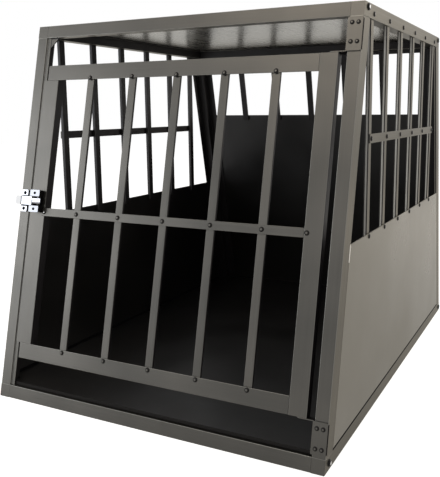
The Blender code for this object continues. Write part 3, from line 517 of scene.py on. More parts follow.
def soften(item, edge=0):
    # Breaks sharp edges by a small bevel and evens out the shading of flat faces
    if edge:
        bevel = item.modifiers.new("edge", "BEVEL")
        bevel.width = edge
        bevel.segments = 2
        bevel.limit_method = "ANGLE"
        bevel.angle_limit = bevelAngle
        bevel.harden_normals = False
        applied(item)
    item.data.shade_smooth()
    item.data.set_sharp_from_angle(angle=sharpAngle)
    item.modifiers.new("weighted", "WEIGHTED_NORMAL").keep_sharp = True
    applied(item)


def paint(item, material, chosen):
    # The faces that chosen picks by their centre and normal get the material
    item.data.materials.append(material)
    for face in item.data.polygons:
        if chosen(face.center, face.normal):
            face.material_index = len(item.data.materials) - 1


def pointing(directions, least=0.9):
    ways = [Vector(way).normalized() for way in directions]
    return lambda centre, normal: any(normal.dot(way) > least for way in ways)


grainOrder = {"x": (1, 2, 0), "y": (0, 2, 1), "z": (0, 1, 2)}


def settle(name, mesh, node, matrix=levelFrame, body="frame", slot="frame_aluminium", along="z",
           material=frameAluminium, cuts=(), joins=(), cutsAfter=(), edge=0, inward=(), least=0.9, paints=()):
    # Finishes a piece in its own frame, puts it in place and lets it ride on its body
    item = makeItem(name, mesh)
    if cuts or joins:
        carve(item, cuts, joins)
    if cutsAfter:
        carve(item, cutsAfter)
    soften(item, edge)
    grain = item.data.attributes.new("grain", "FLOAT_VECTOR", "POINT")
    for vert, value in zip(item.data.vertices, grain.data):
        value.vector = [vert.co[k] for k in grainOrder[along]]
    item.data.materials.clear()
    item.data.materials.append(material)
    # Faces that point along an inward direction get near-black painted shade
    if inward:
        paint(item, blackCoat, pointing(inward, least))
    for paintMaterial, chosen in paints:
        paint(item, paintMaterial, chosen)
    item.data.transform(matrix)
    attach(item, body)
    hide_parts(node)


def makeTree(name, inputs):
    tree = bpy.data.node_groups.new(name, "GeometryNodeTree")
    tree.is_modifier = True
    for label, kind, value in inputs:
        socket = tree.interface.new_socket(name=label, in_out="INPUT", socket_type="NodeSocket" + kind)
        if value is not None:
            socket.default_value = value
    tree.interface.new_socket(name="Geometry", in_out="OUTPUT", socket_type="NodeSocketGeometry")
    return tree, addNode(tree, "NodeGroupInput", out=None)


def endTree(tree, instances, given):
    # A random tone for each instance, then one real mesh with its material
    tone = addNode(tree, "FunctionNodeRandomValue", {2: -1.0, 3: 1.0, "Seed": given["Seed"]}, 1, data_type="FLOAT")
    toned = addNode(tree, "GeometryNodeStoreNamedAttribute", {"Geometry": instances, "Name": "tone", "Value": tone},
                    data_type="FLOAT", domain="INSTANCE")
    real = addNode(tree, "GeometryNodeRealizeInstances", {0: toned})
    painted = addNode(tree, "GeometryNodeSetMaterial", {"Geometry": real, "Material": given["Material"]})
    addNode(tree, "NodeGroupOutput", {0: painted}, out=None)
    return tree


def makeBarRowTree():
    # Upright flat bars with rounded edges, side by side along X
    tree, given = makeTree("barRow", [
        ("Count", "Int", 6), ("Spacing", "Float", 0.1), ("Width", "Float", 0.015), ("Thickness", "Float", 0.005),
        ("Length", "Float", 0.4), ("Corner", "Float", 0.001), ("Seed", "Int", 0), ("Material", "Material", None)])
    step = addNode(tree, "ShaderNodeCombineXYZ", {"X": given["Spacing"]})
    row = addNode(tree, "GeometryNodeMeshLine", {"Count": given["Count"], "Offset": step})
    section = addNode(tree, "GeometryNodeCurvePrimitiveQuadrilateral",
                      {"Width": given["Width"], "Height": given["Thickness"]})
    rounded = addNode(tree, "GeometryNodeFilletCurve", {"Curve": section, "Count": 3, "Radius": given["Corner"]},
                      mode="POLY")
    top = addNode(tree, "ShaderNodeCombineXYZ", {"Z": given["Length"]})
    line = addNode(tree, "GeometryNodeCurvePrimitiveLine", {"End": top})
    bar = addNode(tree, "GeometryNodeCurveToMesh", {"Curve": line, "Profile Curve": rounded, "Fill Caps": True})
    grained = addNode(tree, "GeometryNodeStoreNamedAttribute",
                      {"Geometry": bar, "Name": "grain", "Value": addNode(tree, "GeometryNodeInputPosition")},
                      data_type="FLOAT_VECTOR", domain="POINT")
    instances = addNode(tree, "GeometryNodeInstanceOnPoints", {"Points": row, "Instance": grained})
    return endTree(tree, instances, given)


def makeHeadTree():
    # A fastener head on each point, along the point's own direction and turned at random
    tree, given = makeTree("headSet", [
        ("Points", "Geometry", None), ("Head", "Object", None), ("Radius", "Float", 0.003), ("Height", "Float", 0.0015),
        ("Seed", "Int", 0), ("Material", "Material", None)])
    outward = addNode(tree, "GeometryNodeInputNamedAttribute", {"Name": "outward"}, data_type="FLOAT_VECTOR")
    aligned = addNode(tree, "FunctionNodeAlignRotationToVector", {"Vector": outward}, axis="Z")
    turn = addNode(tree, "FunctionNodeRandomValue", {2: 0.0, 3: 6.283, "Seed": given["Seed"]}, 1, data_type="FLOAT")
    spin = addNode(tree, "FunctionNodeAxisAngleToRotation", {"Axis": (0, 0, 1), "Angle": turn})
    turned = addNode(tree, "FunctionNodeRotateRotation", {"Rotation": aligned, "Rotate By": spin},
                     rotation_space="LOCAL")
    size = addNode(tree, "ShaderNodeCombineXYZ", {"X": given["Radius"], "Y": given["Radius"], "Z": given["Height"]})
    head = addNode(tree, "GeometryNodeObjectInfo", {"Object": given["Head"]}, "Geometry", transform_space="ORIGINAL")
    instances = addNode(tree, "GeometryNodeInstanceOnPoints",
                        {"Points": given["Points"], "Instance": head, "Rotation": turned, "Scale": size})
    return endTree(tree, instances, given)


def runTree(name, tree, values, mesh=None):
    # The tree's result as a plain mesh in a new object
    item = makeItem(name, mesh or bpy.data.meshes.new(name))
    modifier = item.modifiers.new(tree.name, "NODES")
    modifier.node_group = tree
    for socket in tree.interface.items_tree:
        if socket.in_out == "INPUT" and socket.name in values:
            modifier[socket.identifier] = values[socket.name]
    return applied(item)


barRowTree = makeBarRowTree()
headTree = makeHeadTree()

rivets = {
    "radius": 4.2 * mm,
    "height": 2 * mm,
    "sink": 0.4 * mm,
    "fromTop": 14.5 * mm,
    "fromEdge": 4.5 * mm,
    "topFromEdge": 2.5 * mm,
    "seed": 11,
}
bracketRivets = {"radius": 3.6 * mm, "height": 2 * mm, "seed": 3}
bolts = {
    "radius": 5.5 * mm,
    "height": 3 * mm,
    "fromTop": 7.5 * mm,
    "fromBottom": 11 * mm,
    "frontInset": 18 * mm,
    "rearInset": 10 * mm,
    "seed": 5,
}
latchScrews = {
    "keeper": {"radius": 3.3 * mm, "height": 1 * mm, "seed": 2},
    "body": {"radius": 2.6 * mm, "height": 1 * mm, "seed": 4},
}
frameRivets, hingeRivets, frameBolts, doorRivets, doorScrews = [], [], [], [], []


def turnedHead(name, profile, sides, pocket=None):
    # A head turned about Z, one unit in radius and height. Each ring of its profile has a radius, a
    # height, whether it follows the pocket's outline, and its share of the painted highlight.
    shape = bmesh.new()
    core = shape.verts.layers.float.new("core")
    rings = []
    for share, height, pocketed, bright in profile:
        rings.append([])
        for k in range(sides):
            turn = 2 * math.pi * k / sides
            reach = share * (pocket(turn) if pocketed else 1)
            vert = shape.verts.new((reach * math.cos(turn), reach * math.sin(turn), height))
            vert[core] = bright
            rings[-1].append(vert)
    for low, high in zip(rings, rings[1:]):
        for k in range(sides):
            m = (k + 1) % sides
            shape.faces.new((low[k], low[m], high[m], high[k]))
    shape.faces.new(rings[0])
    shape.faces.new(rings[-1])
    mesh = toMesh(shape, name)
    mesh.shade_smooth()
    mesh.set_sharp_from_angle(angle=headSharpAngle)
    item = makeItem(name, mesh)
    item.hide_render = True
    return item


def crossSlot(turn):
    # Outline of a cross recess whose arms are a third as wide as long
    share = 0.34
    lean = abs((turn + math.pi / 4) % (math.pi / 2) - math.pi / 4)
    return 1 / math.cos(lean) if math.tan(lean) <= share else share / math.sin(lean)


rivetHead = turnedHead("rivetHead", [
    (1.0, -rivets["sink"] / rivets["height"], 0, 0), (1.0, 0.16, 0, 0), (0.94, 0.36, 0, 0), (0.8, 0.64, 0, 0),
    (0.66, 0.84, 0, 0), (0.5, 0.96, 0, 0.35), (0.3, 1.0, 0, 1), (0.12, 1.0, 0, 1)], 16)
boltHead = turnedHead("boltHead", [
    (1.0, -0.12, 0, 0), (1.0, 0.3, 0, 0), (0.95, 0.55, 0, 0), (0.82, 0.8, 0, 0), (0.7, 0.95, 0, 0),
    (0.6, 1.0, 0, 0.2), (0.48, 1.0, 0, 1), (0.2, 1.0, 0, 1)], 24)
screwHead = turnedHead("screwHead", [
    (1.0, -0.3, 0, 0), (1.0, 0.3, 0, 0), (0.93, 0.62, 0, 0), (0.8, 0.85, 0, 0), (0.68, 0.97, 0, 0),
    (0.52, 1.0, 1, 0), (0.44, 0.3, 1, 0)], 24, crossSlot)


def pinHeads(name, spots, body, head, sizes, material):
    # spots holds each head's foot and the direction that it points in
    mesh = bpy.data.meshes.new(name)
    mesh.from_pydata([tuple(foot) for foot, outward in spots], [], [])
    direction = mesh.attributes.new("outward", "FLOAT_VECTOR", "POINT")
    for value, (foot, outward) in zip(direction.data, spots):
        value.vector = Vector(outward).normalized()
    item = runTree(name, headTree, {"Head": head, "Radius": sizes["radius"], "Height": sizes["height"],
                                    "Seed": sizes["seed"], "Material": material}, mesh)
    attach(item, body)


def barRow(wall, places, length, matrix, inward, body="frame", thickness=bars["thickness"], edges=None):
    item = runTree(wall + "Bars", barRowTree, {
        "Count": len(places), "Spacing": (places[-1] - places[0]) / (len(places) - 1), "Width": bars["width"],
        "Thickness": thickness, "Length": length, "Corner": bars["corner"], "Seed": bars["toneSeed"],
        "Material": frameAluminium})
    # Painted shade: the bars' inward faces go near-black, and their narrow edges get the edges material
    paint(item, blackCoat, pointing(inward, 0.85))
    if edges:
        paint(item, edges, pointing([(1, 0, 0), (-1, 0, 0)], 0.85))
    item.data.transform(matrix)
    soften(item)
    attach(item, body)
    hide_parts(*[f"{wall}_bar_{i + 1}" for i in range(len(places))])


def buildSideRails(side, sign):
    high, wall, lip = tube["height"], tube["wall"], tube["lip"]
    outline = rectangle(*onSide(sign, innerSide, halfWidth), 0, high)
    cavity = boxMesh(onSide(sign, innerSide + wall, halfWidth - wall), depthRange(high, 0, tube["solidEnd"]),
                     (-high, high - wall))
    strip = boxMesh(onSide(sign, lipInner, boardBack), depthRange(high + lip, postReach + lip, gap),
                    (high - wall / 2, high + lip))
    seamTop = high + boards["sideSeam"] - gap
    seam = boxMesh(onSide(sign, boardBack - bite, halfWidth - boards["seamInset"]),
                   depthRange(seamTop, postReach, 2 * gap), (high - boards["seamFoot"], seamTop))
    # The rail's inward face and the seam's step are painted shade; the step shows as a black line under the board
    settle("bottomRail_" + side, sweep([outline], lengthwise, tube["corner"]), "bottom_rail_" + side, along="y",
           inward=[(-sign, 0, 0)], cuts=[cavity], joins=[strip, seam],
           paints=[(sealedEdge, lambda centre, normal: centre.z > high + gap)])

    raised = [(a, b + topRailBottom) for a, b in outline]
    pocketX = onSide(sign, boardBack - bars["sideThickness"] - gap, boardBack + gap)
    pockets = [boxMesh(pocketX, around(y, bars["width"] + 2 * gap), (topRailBottom - high, crate["height"] - wall))
               for y in sidePlaces]
    roofLip = boxMesh(onSide(sign, innerSide - lip, innerSide + wall / 2),
                      depthRange(roofLipTop, tube["depth"], lip + gap), (roofLipTop - tube["lipThickness"], roofLipTop))
    settle("topRail_" + side, sweep([raised], lengthwise, tube["corner"]), "top_rail_" + side, along="y",
           inward=[(-sign, 0, 0)], cuts=pockets, joins=[roofLip])

    rivetHeight = crate["height"] - rivets["fromTop"]
    frameRivets.extend(((sign * halfWidth, y, rivetHeight), (sign, 0, 0)) for y in sidePlaces)
    for level in (bolts["fromBottom"], crate["height"] - bolts["fromTop"]):
        for y in (frontInside(level, bolts["frontInset"]), rearInside(level, bolts["rearInset"])):
            frameBolts.append(((sign * halfWidth, y, level), (sign, 0, 0)))


def buildCrossRails():
    reach = innerSide - gap
    wall, back, sheet = tube["wall"], tube["depth"], boards["sheet"]
    finReach = rearFin - gap
    lipLow = roofLipTop - tube["lipThickness"]
    for end, inside, inward in (("front", frontInside, 1), ("rear", rearInside, -1)):
        for level, low in (("bottom", 0), ("top", topRailBottom)):
            high = low + tube["height"]
            cuts, joins = [], []
            outline = [(inside(low, 0), low)]
            if (end, level) == ("rear", "top"):
                finLow = low - tube["rearTopFin"]
                outline = [(inside(finLow, 0), finLow), (inside(finLow, sheet), finLow), (inside(low, sheet), low)]
                ends = (inside(low, 2 * back), inside(finLow, -back))
                cuts = [boxMesh(onSide(sign, finReach, halfWidth), ends, (finLow - tube["height"], low))
                        for sign in (-1, 1)]
            outline.append((inside(low, back), low))
            if level == "top":
                lipEnd = inside(roofLipTop, back) + inward * tube["lip"]
                outline += [(inside(lipLow, back), lipLow), (lipEnd, lipLow), (lipEnd, roofLipTop),
                            (inside(roofLipTop, back), roofLipTop)]
            outline += [(inside(high, back), high), (inside(high, 0), high)]
            hole = [(inside(z, depth), z) for z, depth in (
                (low + wall, wall), (low + wall, back - wall), (high - wall, back - wall), (high - wall, wall))]
            if (end, level) == ("rear", "bottom"):
                foot, top = high - wall / 2, high + tube["lip"]
                near = sheet + gap
                far = near + tube["lipThickness"]
                strip = [(inside(z, depth), z) for z, depth in ((foot, near), (foot, far), (top, far), (top, near))]
                lipReach = finReach - tube["lip"]
                joins = [sweep([strip], across(-lipReach, lipReach))]
            settle(f"{end}{level.title()}Rail", sweep([outline, hole], across(-reach, reach), tube["corner"]),
                   f"{end}_{level}_rail", along="x", cuts=cuts, joins=joins, inward=[(0, inward, 0)])
    finMiddle = topRailBottom - tube["rearTopFin"] / 2
    outward = (0, math.cos(rearAngle), math.sin(rearAngle))
    frameRivets.extend(((x, rearFace(finMiddle), finMiddle), outward) for x in rearPlaces)


def postSection(extra=()):
    # Right-hand post: a tube with a fin along the side wall and a lip behind the board
    back, wall, lip = tube["depth"], tube["wall"], tube["lip"]
    outline = [(innerSide, 0), (halfWidth, 0), (halfWidth, postReach), (boardBack, postReach),
               (boardBack, postReach + lip), (lipInner, postReach + lip), (lipInner, back), (innerSide, back)]
    return [outline + list(extra), rectangle(innerSide + wall, halfWidth - wall, wall, back - wall)]


def buildPosts():
    low, high = tube["height"] + gap, topRailBottom - gap
    near = tube["latchFinDepth"]
    far = near + tube["lipThickness"]
    finX = innerSide - tube["latchFin"]
    front = [postSection(), mirrored(postSection([(innerSide, far), (finX, far), (finX, near), (innerSide, near)]))]

    near = boards["sheet"] + gap
    far = near + tube["lipThickness"]
    lipX = rearFin - tube["lip"]
    section = postSection([(innerSide, far), (lipX, far), (lipX, near), (rearFin, near), (rearFin, 0)])
    section = [[(a, -b) for a, b in loop] for loop in section]
    rear = [section, mirrored(section)]

    for end, sections, cut, matrix, inward, least in (("front", front, frontCut, frontFrame, 1, 0.9),
                                                      ("rear", rear, rearCut, rearFrame, -1, 0.3)):
        for side, sign, loops in (("right", 1, sections[0]), ("left", -1, sections[1])):
            settle(f"{end}{side.title()}Post", sweep(loops, upright(cut(low), cut(high)), tube["corner"]),
                   f"{end}_{side}_post", matrix, inward=[(-sign, 0, 0), (0, inward, 0)], least=least)


def buildSideWall(side, sign):
    low, top = tube["height"] + boards["sideSeam"], boards["sideTop"]
    reach = postReach + gap
    outline = [(frontInside(low, reach), low), (rearInside(low, reach), low), (rearInside(top, reach), top),
               (frontInside(top, reach), top)]
    settle(side + "WallBoard", sweep([outline], across(*onSide(sign, halfWidth - boards["sheet"], halfWidth))),
           side + "_wall_panel", slot="wall_board", along="y", material=coatedSheet, edge=boards["edge"],
           paints=[(filmFacedBoard, pointing([(-sign, 0, 0)]))])
    frameRivets.extend(((sign * halfWidth, y, top - rivets["fromEdge"]), (sign, 0, 0)) for y in sidePlaces)

    foot = top - bars["foot"]
    length = crate["height"] - tube["wall"] - bars["topRoom"] - foot
    middle = sign * (boardBack - bars["sideThickness"] / 2)
    row = Matrix.Translation((middle, sidePlaces[0], foot)) @ Matrix.Rotation(math.pi / 2, 4, "Z")
    # Right bars' narrow edges: painted shade with a painted highlight down the middle; left ones: painted shade
    barRow(side, sidePlaces, length, row, [(0, sign, 0)], thickness=bars["sideThickness"],
           edges=rubbedEdge if side == "right" else blackCoat)

    face = sign * (boardBack + gap + midRail["thickness"])
    halfBar = bars["width"] / 2
    strip = rectangle(sidePlaces[0] - halfBar, sidePlaces[-1] + halfBar, *around(midRail["centre"], midRail["height"]))
    stripX = onSide(sign, boardBack + gap, boardBack + gap + midRail["thickness"])
    settle(side + "MidRail", sweep([strip], across(*stripX), midRail["corner"], 3, 0), "mid_rail_" + side, along="y",
           edge=midRail["edge"], inward=[(-sign, 0, 0)])
    frameRivets.extend(((face, y, midRail["centre"]), (sign, 0, 0)) for y in sidePlaces)


def buildRearWall():
    reach = rearFin - gap
    low, high = rearCut(tube["height"] + boards["seam"]), rearCut(boards["rearTop"])
    sheet = sweep([rectangle(-reach, reach, -boards["sheet"], 0)], upright(low, high))
    settle("rearWallBoard", sheet, "rear_wall_panel", rearFrame, slot="wall_board", material=coatedSheet,
           edge=boards["edge"], paints=[(filmFacedBoard, pointing([(0, -1, 0)]))])
    rivetHeight = high(0, 0) - rivets["fromEdge"]
    outward = rearFrame.to_3x3() @ Vector((0, 1, 0))
    frameRivets.extend((rearFrame @ Vector((x, 0, rivetHeight)), outward) for x in rearPlaces)
    outer = -boards["sheet"] - gap
    foot = high(0, 0) - bars["foot"]
    length = rearCut(topRailBottom - gap)(0, outer) - foot
    row = rearFrame @ Matrix.Translation((rearPlaces[0], outer - bars["thickness"] / 2, foot))
    barRow("rear", rearPlaces, length, row, [(0, -1, 0), (1, 0, 0), (-1, 0, 0)])


def buildRoofAndFloor():
    reach = innerSide - gap
    top = crate["height"]
    roof = boxMesh((-reach, reach), depthRange(top, tube["depth"], gap), (top - boards["roof"], top))
    settle("roofSheet", roof, "roof_panel", slot="roof_sheet", along="y", material=roofSheet, edge=boards["edge"])

    low = tube["height"] + gap
    high = low + boards["floor"]
    wide = lipInner - gap
    narrow = innerSide - hinge["sheet"] - 2 * gap  # clears the posts and the lower hinge's bracket
    front, rear = depthRange(high, boards["floorInset"])
    near, far = depthRange(high, tube["depth"], gap)
    outline = [(-narrow, front), (narrow, front), (narrow, near), (wide, near), (wide, far), (narrow, far),
               (narrow, rear), (-narrow, rear), (-narrow, far), (-wide, far), (-wide, near), (-narrow, near)]
    settle("floorBoard", sweep([outline], upright(low, high)), "floor_panel", slot="dark_board", along="y",
           material=filmFacedBoard, edge=0.5 * boards["edge"],
           paints=[(sealedEdge, pointing([(0, 1, 0), (1, 0, 0), (-1, 0, 0)], 0.3)),
                   (boardEdge, pointing([(0, -1, 0)], 0.3))])


gusset = {"leg": 20 * mm, "corner": 0.8 * mm, "margin": 2.2 * mm, "step": 0.3 * mm}


def buildGusset():
    cornerX = gap - innerSide + tube["latchFin"]
    cornerZ = frontCut(topRailBottom)(0, tube["latchFinDepth"]) - gap
    leg, margin, corner = gusset["leg"], gusset["margin"], gusset["corner"]
    outline = [(cornerX, cornerZ), (cornerX + leg, cornerZ), (cornerX, cornerZ - leg)]
    raised = [(cornerX + margin, cornerZ - margin), (cornerX + leg - margin, cornerZ - margin),
              (cornerX + margin, cornerZ - leg + margin)]
    face, back = tube["latchFinDepth"], tube["latchFinDepth"] + tube["lipThickness"]
    # The plate's rim round the raised triangle is painted shade, a dark slot along both legs
    settle("cornerGusset", sweep([outline], facing(face + gusset["step"], back), corner, 3, 0), "corner_gusset",
           frontFrame, joins=[sweep([raised], facing(face, back - bite), corner, 3, 0)],
           paints=[(blackCoat, lambda centre, normal: centre.y > face + 2 * hair)])


def buildDoor():
    skin, back, wall = door["skin"], door["depth"], door["wall"]
    behindSkin = skin + gap
    tubeHeight = door["railHeight"] - door["railLap"]
    stileX = doorRight - door["stile"]
    look = {"matrix": frontFrame, "body": "door"}

    # Faces pointing along these get near-black painted shade
    dark = [(1, 0, 0), (-1, 0, 0), (0, 1, 0)]
    loops = [rectangle(stileX, doorRight, 0, back), rectangle(stileX + wall, doorRight - wall, wall, back - wall)]
    settle("doorRightStile", sweep(loops, upright(doorBottom, doorTop), door["corner"]), "door_right_stile",
           inward=dark, **look)
    spots = [(stileX + rivets["fromEdge"], midRailCentre)]

    stileZ = (doorBottom + tubeHeight + gap, doorTop - tubeHeight - gap)
    lapLeft = doorLeft - door["stileLap"]
    inner = doorLeft + door["leftStile"]
    start = latchRight + latch["midRailGap"]
    loops = [[(lapLeft, 0), (inner, 0), (inner, back), (doorLeft, back), (doorLeft, skin), (lapLeft, skin)],
             rectangle(doorLeft + wall, inner - wall, behindSkin + wall, back - wall)]
    lapped = (lapLeft - wall, inner + wall)
    rebates = [boxMesh(x, (-wall, behindSkin), z) for x, z in (
        (lapped, (doorBottom, doorBottom + door["railHeight"] + gap)),
        (lapped, (doorTop - door["railHeight"] - gap, doorTop)),
        ((start - gap, inner + wall), around(midRailCentre, midRail["height"] + 2 * gap)))]
    settle("doorLeftStile", sweep(loops, upright(*stileZ), door["corner"]), "door_left_stile", inward=dark,
           cuts=rebates, **look)

    railEnd = stileX - gap
    for name, node, edge, way, inset in (("doorTopRail", "door_top_rail", doorTop, -1, rivets["topFromEdge"]),
                                         ("doorBottomRail", "door_bottom_rail", doorBottom, 1, rivets["fromEdge"])):
        tubeEdge = edge + way * tubeHeight
        lap = edge + way * door["railHeight"]
        outline = [(0, edge), (back, edge), (back, tubeEdge), (skin, tubeEdge), (skin, lap), (0, lap)]
        hole = [(skin, edge + way * wall), (back - wall, edge + way * wall),
                (back - wall, tubeEdge - way * wall), (skin, tubeEdge - way * wall)]
        settle(name, sweep([outline, hole], across(doorLeft, railEnd), door["corner"]), node, along="x",
               inward=[(0, 1, 0), (0, 0, -1)], **look)
        spots += [(x, lap - way * inset) for x in doorPlaces]

    strip = rectangle(start, railEnd, *around(midRailCentre, midRail["height"]))
    settle("doorMidRail", sweep([strip], facing(0, midRail["thickness"]), midRail["corner"], 3, 0), "door_mid_rail",
           along="x", edge=midRail["edge"], **look)
    spots += [(x, midRailCentre) for x in doorPlaces]
    doorRivets.extend((frontFrame @ Vector((x, 0, z)), outOfFront) for x, z in spots)
    doorScrews.append((frontFrame @ Vector((start + door["screwInset"], 0, midRailCentre)), outOfFront))

    row = frontFrame @ Matrix.Translation((doorPlaces[0], behindSkin + bars["thickness"] / 2, stileZ[0]))
    barRow("door", doorPlaces, stileZ[1] - stileZ[0], row, [(0, 1, 0), (1, 0, 0), (-1, 0, 0)], "door")


hinge = {
    "sheet": 2 * mm,
    "cheek": 15 * mm,
    "cheekInset": 0.7 * mm,
    "tongue": 1.5 * mm,
    "reach": 8 * mm,
    "pin": 4 * mm,
    "play": 0.6 * mm,
    "corner": 2.2 * mm,
    "endRoom": 1 * mm,
    "rivetSpacing": 10 * mm,
    "rivetPitch": 30 * mm,
    "rivetInset": 9 * mm,
    "shade": 3.4 * mm,  # black side of the plate round the post's corner
    "shadeProud": 0.1 * mm,
    "shadeInset": 0.2 * mm,
}


def buildHinges():
    sheet, reach = hinge["sheet"], hinge["reach"]
    plateX = (innerSide - gap - sheet, halfWidth)
    cheekX = (plateX[0], plateX[0] + sheet)
    plateY = (-gap - sheet, -gap)
    arc = arcPoints(pivot, reach, math.pi / 2, 3 * math.pi / 2, 16)
    tongue = [[(cheekX[1], pivot[1] + reach)] + arc + [(cheekX[1], pivot[1] - reach)],
              circle(pivot, hinge["pin"] + gap, 24)]
    cornerTop = frontCut(topRailBottom)(0, 0) - hinge["endRoom"]
    cornerBottom = frontCut(tube["height"])(0, hinge["cheek"]) + hinge["endRoom"]
    for name, node, seat, way, corner in (
            ("upperHingeBracket", "upper_hinge_bracket", doorTop + hinge["play"], 1, cornerTop),
            ("lowerHingeBracket", "lower_hinge_bracket", doorBottom - gap, -1, cornerBottom)):
        low, high = sorted((seat, corner))
        plate = sweep([rectangle(*plateX, low, high)], facing(*plateY), hinge["corner"], 4, 0)
        cheek = boxMesh(cheekX, (plateY[0] + hinge["cheekInset"], hinge["cheek"]), (low + speck, high - speck))
        leaf = sweep(tongue, upright(*sorted((seat + way * hair, seat + way * hinge["tongue"]))))
        shade = boxMesh((halfWidth - past, halfWidth + hinge["shadeProud"]),
                        (plateY[0] + hinge["shadeInset"], hinge["shade"]),
                        (low + hinge["corner"], high - hinge["corner"]))
        # The plate's edges and its black side round the post are painted shade, which show as dark lines
        settle(name, plate, node, frontFrame, joins=[cheek, leaf, shade], least=0.5,
               inward=[(-1, 0, 0), (1, 0, 0), (0, 0, 1), (0, 0, -1)],
               paints=[(sealedEdge, lambda centre, normal: centre.x > halfWidth + speck)])
        first = corner - way * hinge["rivetInset"]
        hingeRivets.extend((frontFrame @ Vector((x, plateY[0], z)), outOfFront)
                           for x in around(sum(plateX) / 2, hinge["rivetSpacing"])
                           for z in (first, first - way * hinge["rivetPitch"]))


latch = {
    "rise": 19 * mm,
    "height": 42 * mm,
    "midRailGap": 0.5 * mm,
    "bodyWidth": 23 * mm,
    "overhang": 3 * mm,
    "bodyTop": 12 * mm,  # above the front's plane, as the heights below
    "bodyCorner": 1.6 * mm,
    "channel": 17.6 * mm,
    "channelFloor": 2 * mm,
    "pin": 2 * mm,
    "pinInset": 5 * mm,
    "pinRise": 8 * mm,
    "boss": 4 * mm,
    "armHeight": 9.6 * mm,
    "armThickness": 5 * mm,
    "armPlate": 1.2 * mm,  # over the boss
    "armReach": 8 * mm,  # past the pin's middle
    "groove": 1.4 * mm,  # along the arm
    "grooveStart": 0.5 * mm,  # past the head's end
    "grooveDepth": 0.5 * mm,
    "leverEdge": 0.25 * mm,
    "headInset": 12.5 * mm,  # from the crate's left side
    "headLength": 26 * mm,
    "headHeight": 16 * mm,
    "headTop": 13 * mm,
    "headSheet": 3 * mm,
    "headWall": 2 * mm,
    "wallDrop": 3 * mm,
    "wallInset": 0.3 * mm,
    "headCorner": 1.6 * mm,
    "hookFoot": 3 * mm,
    "undercut": math.radians(7),
    "hookGap": 0.4 * mm,
    "tab": 2 * mm,
    "tabHeight": 16 * mm,
    "tabReach": 11 * mm,
    "tabLean": math.radians(45),
    "tabCorner": 3 * mm,
    "tabFoot": 2.6 * mm,  # bend between head and tab, painted black as shade
    "tabStep": 0.4 * mm,
    "keeperWidth": 15 * mm,
    "keeperInset": 3 * mm,
    "keeperSheet": 2 * mm,
    "keeperCorner": 2.2 * mm,
    "keeperBand": 21 * mm,  # recess under the lever's head, painted black as shade
    "keeperRecess": 0.7 * mm,
    "toothWidth": 5 * mm,
    "toothHeight": 5.5 * mm,
    "toothLength": 9 * mm,
    "toothInset": 1 * mm,
    "screwInset": 6 * mm,
    "edge": 0.35 * mm,
}
latchCentre = midRailCentre + latch["rise"]
latchSpan = around(latchCentre, latch["height"])
latchLeft = doorLeft - latch["overhang"]
latchRight = latchLeft + latch["bodyWidth"]
leverX = latchRight - latch["pinInset"]
latchLook = {"matrix": frontFrame, "slot": "latch_chrome", "material": chromePlate}


def screwSpots(x, y):
    return [(frontFrame @ Vector((x, y, z)), outOfFront)
            for z in around(latchCentre, latch["height"] - 2 * latch["screwInset"])]


def buildKeeper():
    # Chromed plate on the left post with the undercut tooth that the lever hooks behind
    left = latch["keeperInset"] - halfWidth
    right = left + latch["keeperWidth"]
    face = -gap - latch["keeperSheet"]
    toothRight = -innerSide - latch["toothInset"]
    toothLeft = toothRight - latch["toothWidth"]
    toothTop = face - latch["toothHeight"]
    foot = toothLeft - latch["toothWidth"]
    tooth = [(toothLeft, toothTop), (toothRight, toothTop), (toothRight, -gap), (foot, -gap), (foot, face),
             (toothLeft + latch["toothHeight"] * math.tan(latch["undercut"]), face)]
    plate = sweep([rectangle(left, right, *latchSpan)], facing(face, -gap), latch["keeperCorner"], 5)
    band = boxMesh((left - past, right + past), (face - past, face + latch["keeperRecess"]),
                   around(latchCentre, latch["keeperBand"]))
    # The recess under the head and the faces turned to the right are painted black as shade
    settle("latchKeeper", plate, "latch_keeper", cuts=[band], edge=latch["edge"],
           joins=[sweep([tooth], upright(*around(latchCentre, latch["toothLength"])))],
           paints=[(sealedEdge, lambda centre, normal: normal.x > 0.6
                    or abs(centre.z - latchCentre) < latch["keeperBand"] / 2 + hair)], **latchLook)
    return screwSpots((left + right) / 2, face)


def buildLatchBody():
    # Chromed base on the door with a rounded lobe above and below the lever
    low, high = around(latchCentre, latch["channel"])
    corner, top = latch["bodyCorner"], -latch["bodyTop"]
    sheet = sweep([rectangle(latchLeft, latchRight, *latchSpan)], facing(-latch["channelFloor"], -gap), corner, 5)
    lobes = [sweep([rectangle(latchLeft, latchRight, *ends)], facing(top, -gap - 2 * hair), corner, 5)
             for ends in ((latchSpan[0], low), (high, latchSpan[1]))]
    bore = sweep([circle((leverX, -latch["pinRise"]), latch["pin"] + gap, 24)],
                 upright(*around(latchCentre, 2 * latch["height"])))
    # Painted shade: the lobes' tops get the darker chrome, and the right-facing and channel faces go black
    settle("latchBody", sheet, "latch_body", body="door", joins=lobes, edge=latch["edge"], cutsAfter=[bore],
           paints=[(castZinc, lambda centre, normal: centre.y < past + top),
                   (sealedEdge, lambda centre, normal: normal.x > 0.5
                    or low - 4 * hair < centre.z < high + 4 * hair)], **latchLook)
    return screwSpots((latchLeft + latchRight) / 2, top)


